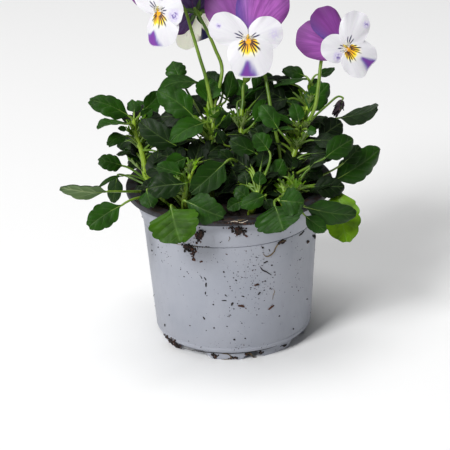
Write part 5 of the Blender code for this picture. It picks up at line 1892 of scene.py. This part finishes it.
# %% [markdown]
# ## Dirt on the pot
# Potting soil clings to the wall: clumps under the rim, bits of root and bark, and many fine
# specks that were splashed on when the plant was watered. Spots of colour in the wall's
# finish would do from afar, but close by they look printed, so these are real crumbs. Each
# place was read off the picture, and a small search along the line of sight finds where it
# meets the wall.

# %% Find places on the pot's wall
# height and radius of a foot's outer face, from the ground up
FOOT_FACE = [(-0.6, 37.9), (0.6, 38.1), (2.0, 38.4)]
WALL_LINE = FOOT_FACE + sorted((height, radius) for radius, height in OUTSIDE + OVER_THE_RIM[:2])
SEARCH_FROM = 75.0
SEARCH_TO = -40.0
SEARCH_STEP = 0.1


def wall_radius(height):
    """Return the radius of the pot's outside at a height."""
    for (low, low_radius), (high, high_radius) in zip(WALL_LINE, WALL_LINE[1:]):
        if low <= height <= high and high > low:
            return low_radius + (high_radius - low_radius) * (height - low) / (high - low)
    return 0.0


def on_wall(right, up):
    """Return the place and outward direction where a line of sight meets the wall."""
    near = SEARCH_FROM
    while near > SEARCH_TO:
        place = seen((right, up, near))
        if math.hypot(place.x, place.y) <= wall_radius(place.z):
            return place, Vector((place.x, place.y, 0.0)).normalized()
        near -= SEARCH_STEP
    return None


print("middle of the wall in front:", [round(value, 1) for value in on_wall(0.0, -20.0)[0]])

# %% [markdown]
# A crumb is a small ball with few faces, dented by noise and pressed flat on the wall. One
# crumb is modelled, and each copy is turned, stretched and set down on its own.

# %% Crumbs and their finish
def dirt_finish(name, dark, light):
    """Make dry potting soil, which varies from crumb to crumb."""
    finish = Finish(name, 0.85)
    clouds = finish.noise(finish.place(), 420.0, 3.0, 0.6)
    finish.set("Base Color", finish.mix(finish.step(clouds, 0.35, 0.65), dark, light))
    finish.relief(finish.noise(finish.place(), 2400.0, 2.0), 0.4, 0.0002)
    return finish.material


DARK_DIRT = dirt_finish("dark_dirt", "#0d0806", "#20140f")
BARK = dirt_finish("bark_bits", "#30190f", "#54301f")
GREY_DUST = dirt_finish("grey_dust", "#5f6068", "#77777d")
ROOT = dirt_finish("root_fibre", "#4a3a22", "#7d6a42")
PALE_ROOT = dirt_finish("pale_root", "#b9ab98", "#ddd3c4")
CRUMB_HEIGHT = 0.35


def make_crumb(level):
    """Make the master crumb: a ball with few faces, dented unevenly."""
    bpy.ops.object.select_all(action="DESELECT")
    bpy.ops.mesh.primitive_ico_sphere_add(subdivisions=level, radius=1.0)
    crumb = bpy.context.object
    for vertex in crumb.data.vertices:
        vertex.co *= 1.0 + 0.45 * noise.noise(vertex.co * 1.7)
    return crumb


def set_crumb(master, place, outward, length, width, turn, finish):
    """Press a copy of the crumb on the wall, long by wide, turned about the wall's normal."""
    twin = copied(master)
    upright = Vector((0, 0, 1))
    level = upright.cross(outward).normalized()
    along = level * math.cos(turn) + upright * math.sin(turn)
    across = outward.cross(along)
    thick = CRUMB_HEIGHT * width
    frame = Matrix((along * length / 2, across * width / 2, outward * thick)).transposed()
    for vertex in twin.data.vertices:
        vertex.co = (place + outward * thick * 0.3 + frame @ vertex.co) * MM
    twin.data.materials.append(finish)
    return twin


FINE_CRUMB = make_crumb(1)
COARSE_CRUMB = make_crumb(2)
print("a fine crumb has", len(FINE_CRUMB.data.polygons), "faces")

# %% [markdown]
# Fine specks are drawn by chance from a seed, thickest where the picture shows them, to the
# upper right of the middle. The back was not seen and gets only a few. Those that the eye
# picks out come from lists: right, up, length, width and the way they lie in degrees. For a
# clump the number of crumbs follows.

# %% Specks and clumps
HIDDEN_SPECKS = 150
HIDDEN_SIDE = (math.radians(75), math.radians(285))
HIDDEN_HEIGHTS = (8.0, 79.0)
LOWEST_SPECK = 0.8
LOWEST_CRUMB = 0.7
CLUMP_EDGE = 1.25
SPECK_FIELDS = (
    # right and up of the middle, half the spread across and down, how many
    (16.0, -27.0, 13.0, 12.0, 120),
    (18.0, -15.0, 14.0, 6.0, 40),
    (0.0, -26.0, 36.0, 26.0, 130),
    (37.0, -22.0, 6.0, 20.0, 40),
    (-30.0, -12.0, 7.0, 7.0, 22),
    (4.0, -61.0, 26.0, 3.0, 46),
    (-16.0, -10.0, 5.0, 6.0, 40),
    (8.0, -46.0, 26.0, 12.0, 46),
)
CLUMPS = (
    (-12.6, -5.2, 7.0, 3.2, 68, 46),
    (-17.6, -11.3, 6.0, 3.4, -15, 44),
    (-15.6, -14.0, 4.5, 1.4, 82, 14),
    (7.4, -3.0, 6.4, 3.4, -12, 48),
    (6.0, -1.5, 12.0, 0.8, 0, 22),
    (24.6, -1.5, 8.5, 2.0, -8, 36),
    (38.3, -4.2, 3.0, 1.0, 40, 9),
    (41.4, -8.0, 1.8, 1.4, 0, 7),
    (45.0, -5.6, 1.2, 2.4, 80, 7),
    (28.6, -8.4, 4.2, 1.6, 25, 16),
    (-10.5, -10.9, 8.0, 0.5, 0, 10),
    (-26.3, -58.3, 6.0, 2.8, -38, 50),
    (-23.6, -60.6, 3.4, 1.8, -25, 24),
    (-29.6, -55.4, 3.0, 1.2, -60, 8),
    (-5.0, -66.2, 2.0, 1.2, -20, 9),
    (-5.5, -65.0, 4.0, 1.4, -10, 16),
    (4.6, -66.4, 4.6, 1.4, 0, 22),
    (11.4, -64.3, 2.8, 1.1, -8, 9),
    (18.0, -63.6, 1.3, 2.0, 80, 7),
    (29.5, -60.2, 3.6, 0.9, 15, 10),
    (2.0, 1.2, 34.0, 1.2, -2, 90),
)
BARK_BITS = (
    (16.2, -29.7, 3.0, 1.1, 5), (23.4, -40.9, 4.2, 1.1, 27), (-15.3, -17.2, 2.2, 1.6, 0),
    (-11.6, -18.2, 2.0, 0.9, 25), (24.0, -2.3, 5.0, 1.2, -12), (1.0, -14.6, 1.2, 0.5, -30),
    (27.6, -1.7, 3.2, 0.9, -30), (8.5, -40.4, 3.8, 1.3, -14), (18.0, -63.4, 1.2, 1.2, 0),
)
NAMED_SPECKS = (
    (-29.9, -50.0, 1.9, 0.9, 85), (-9.3, -29.7, 2.8, 0.8, 84), (-9.7, -26.9, 2.2, 0.6, -60),
    (-11.6, -26.2, 1.9, 0.5, -65), (-9.6, -33.9, 1.9, 0.6, 80), (3.8, -39.3, 2.2, 1.0, 60),
    (-0.1, -37.7, 2.8, 0.6, 0), (0.5, -35.1, 1.1, 0.7, -50), (-0.4, -23.4, 0.9, 0.9, 0),
    (5.7, -27.6, 1.2, 0.7, -40), (4.5, -26.3, 0.7, 0.6, 0), (20.3, -27.9, 0.8, 0.8, 0),
    (20.6, -18.4, 2.8, 0.7, 15), (23.6, -20.0, 1.2, 0.7, 0), (19.0, -11.2, 1.2, 1.0, -30),
    (-5.6, -39.7, 0.9, 0.8, 0), (-10.3, -46.6, 2.0, 0.8, -60), (-27.7, -45.0, 0.9, 0.8, 0),
    (-5.3, -51.4, 0.9, 0.8, 60), (4.9, -57.2, 1.2, 1.0, 0), (10.3, -56.6, 1.0, 0.6, -20),
    (-36.4, -12.8, 1.3, 0.9, 20), (-33.3, -11.1, 0.9, 0.6, 0), (-31.4, -18.0, 0.9, 0.3, -50),
    (17.3, -34.0, 2.2, 0.8, 45), (9.2, -35.6, 1.8, 0.6, -20), (22.8, -31.5, 0.8, 0.7, 0),
    (19.7, -32.5, 0.7, 0.7, 0), (42.4, -48.2, 0.8, 2.2, 0), (41.0, -36.9, 1.0, 0.8, 0),
    (37.5, -17.2, 0.8, 0.7, 0), (27.3, -45.4, 1.0, 0.8, 0), (34.2, -51.8, 0.8, 1.0, 0),
)


def scatter(total, field, draw):
    """Sprinkle fine specks over one field, thinner towards its edges."""
    right, up, wide, high, count = field
    for _ in range(count):
        spot = on_wall(draw.gauss(right, wide * 0.5), draw.gauss(up, high * 0.5))
        if spot is None or spot[0].z < LOWEST_SPECK:
            continue
        size = 0.22 + 0.38 * draw.random() ** 2.2
        finish = draw.choice((DARK_DIRT, DARK_DIRT, GREY_DUST, GREY_DUST, BARK))
        total.append(set_crumb(FINE_CRUMB, *spot, size * draw.uniform(1.0, 2.2), size,
                               draw.uniform(0, math.pi), finish))


def scatter_behind(total, draw):
    """Sprinkle a few specks over the side of the wall that was not seen."""
    for _ in range(HIDDEN_SPECKS):
        turn = draw.uniform(*HIDDEN_SIDE)
        outward = Vector((math.sin(turn), -math.cos(turn), 0.0))
        height = draw.uniform(*HIDDEN_HEIGHTS)
        place = outward * wall_radius(height) + Vector((0, 0, height))
        size = 0.25 + 0.6 * draw.random() ** 3
        total.append(set_crumb(FINE_CRUMB, place, outward, size * draw.uniform(1.0, 2.2), size,
                               draw.uniform(0, math.pi), draw.choice((DARK_DIRT, GREY_DUST))))


def heap(total, clump, draw):
    """Heap coarse crumbs in one clump."""
    right, up, length, width, lie, count = clump
    turn = math.radians(lie)
    for _ in range(2 * count):
        x, y = (max(-CLUMP_EDGE, min(CLUMP_EDGE, draw.gauss(0.0, 0.5))) * size / 2
                for size in (length, width))
        spot = on_wall(right + x * math.cos(turn) - y * math.sin(turn),
                       up + x * math.sin(turn) + y * math.cos(turn))
        if spot is None or spot[0].z < LOWEST_CRUMB:
            continue
        size = draw.uniform(0.3, 0.8) * min(1.5, 0.7 + width / 4)
        place = spot[0] + spot[1] * draw.uniform(0.0, 0.25) * width / 2
        total.append(set_crumb(COARSE_CRUMB, place, spot[1], size * draw.uniform(1.0, 1.9),
                               size, draw.uniform(0, math.pi),
                               draw.choice((DARK_DIRT, DARK_DIRT, DARK_DIRT, BARK))))


def cling_dirt():
    """Set all crumbs on the wall and join them in one object."""
    draw = random.Random(19)
    total = []
    for field in SPECK_FIELDS:
        scatter(total, field, draw)
    scatter_behind(total, draw)
    for clump in CLUMPS:
        heap(total, clump, draw)
    for bits, finish in ((BARK_BITS, BARK), (NAMED_SPECKS, DARK_DIRT)):
        for right, up, length, width, lie in bits:
            spot = on_wall(right, up)
            if spot is not None:
                total.append(set_crumb(COARSE_CRUMB, *spot, length, width, math.radians(lie),
                                       finish))
    return joined("clinging_dirt", total)


dirt = cling_dirt()
print("crumbs on the wall:", len(dirt.data.polygons), "faces")

# %% [markdown]
# Root fibres are thin curves through places on the wall, lifted by their own thickness. They
# could be crumbs drawn out long, but only a curve can loop as roots do. Some hang over the
# rim at the front. The dirt rides with the pot but replaces no plain solid.

# %% Root fibres on the pot
FIBRES = (
    # places (right, up), the radius in the middle, and the finish
    ([(30.8, -7.2), (27.5, -8.6), (25.6, -11.0), (24.6, -13.2), (22.8, -15.0), (20.6, -15.6),
      (19.2, -14.2)], 0.32, ROOT),
    ([(17.8, -20.8), (18.8, -22.4), (20.6, -23.2), (23.2, -24.8)], 0.35, DARK_DIRT),
    ([(-24.5, -9.4), (-20.0, -10.2), (-16.0, -10.6), (-11.0, -10.9)], 0.22, ROOT),
    ([(-1.0, -64.2), (1.9, -64.6), (3.0, -66.6), (1.6, -68.2), (-1.5, -68.4), (-4.2, -67.4)],
     0.3, ROOT),
    ([(10.2, -64.2), (12.8, -64.0), (14.0, -65.8), (16.0, -65.8)], 0.26, ROOT),
    ([(20.0, 2.6), (21.5, 0.8), (24.5, -0.4), (28.5, -2.9)], 0.32, ROOT),
    ([(2.2, -5.6), (2.6, -6.6), (1.8, -8.0)], 0.16, ROOT),
    ([(-27.0, -59.6), (-22.0, -61.4), (-16.0, -62.6), (-9.0, -63.6), (-2.0, -64.0),
      (6.0, -64.0), (14.0, -63.2), (21.0, -61.8), (26.0, -60.2)], 0.17, DARK_DIRT),
    ([(2.0, 1.2), (5.0, 2.0), (8.5, 1.3), (11.5, 2.4)], 0.24, PALE_ROOT),
    ([(0.5, 2.2), (3.5, 2.9), (7.5, 2.4), (12.0, 3.2), (16.5, 2.6)], 0.26, ROOT),
    ([(24.4, -31.8), (24.9, -33.4), (24.2, -35.0), (24.0, -37.2)], 0.14, ROOT),
)


def lay_fibres():
    """Lay each fibre along the wall as a thin tube that thins out at its ends."""
    total = []
    for places, radius, finish in FIBRES:
        spots = [spot for spot in (on_wall(*place) for place in places) if spot]
        course = smooth_course([place + out * radius * 0.5 for place, out in spots], 5)
        count = len(course) - 1
        radii = [radius * (0.25 + 0.75 * math.sin(math.pi * (0.08 + 0.84 * index / count)))
                 for index in range(count + 1)]
        total.append(tubes("fibre", [(course, radii)], finish, resolution=1))
    return total


fibres = lay_fibres()
for master in (FINE_CRUMB, COARSE_CRUMB):
    bpy.data.objects.remove(master)
smooth(dirt, 35)
finish_piece(joined("clinging_dirt", [dirt, *fibres]), "soil")
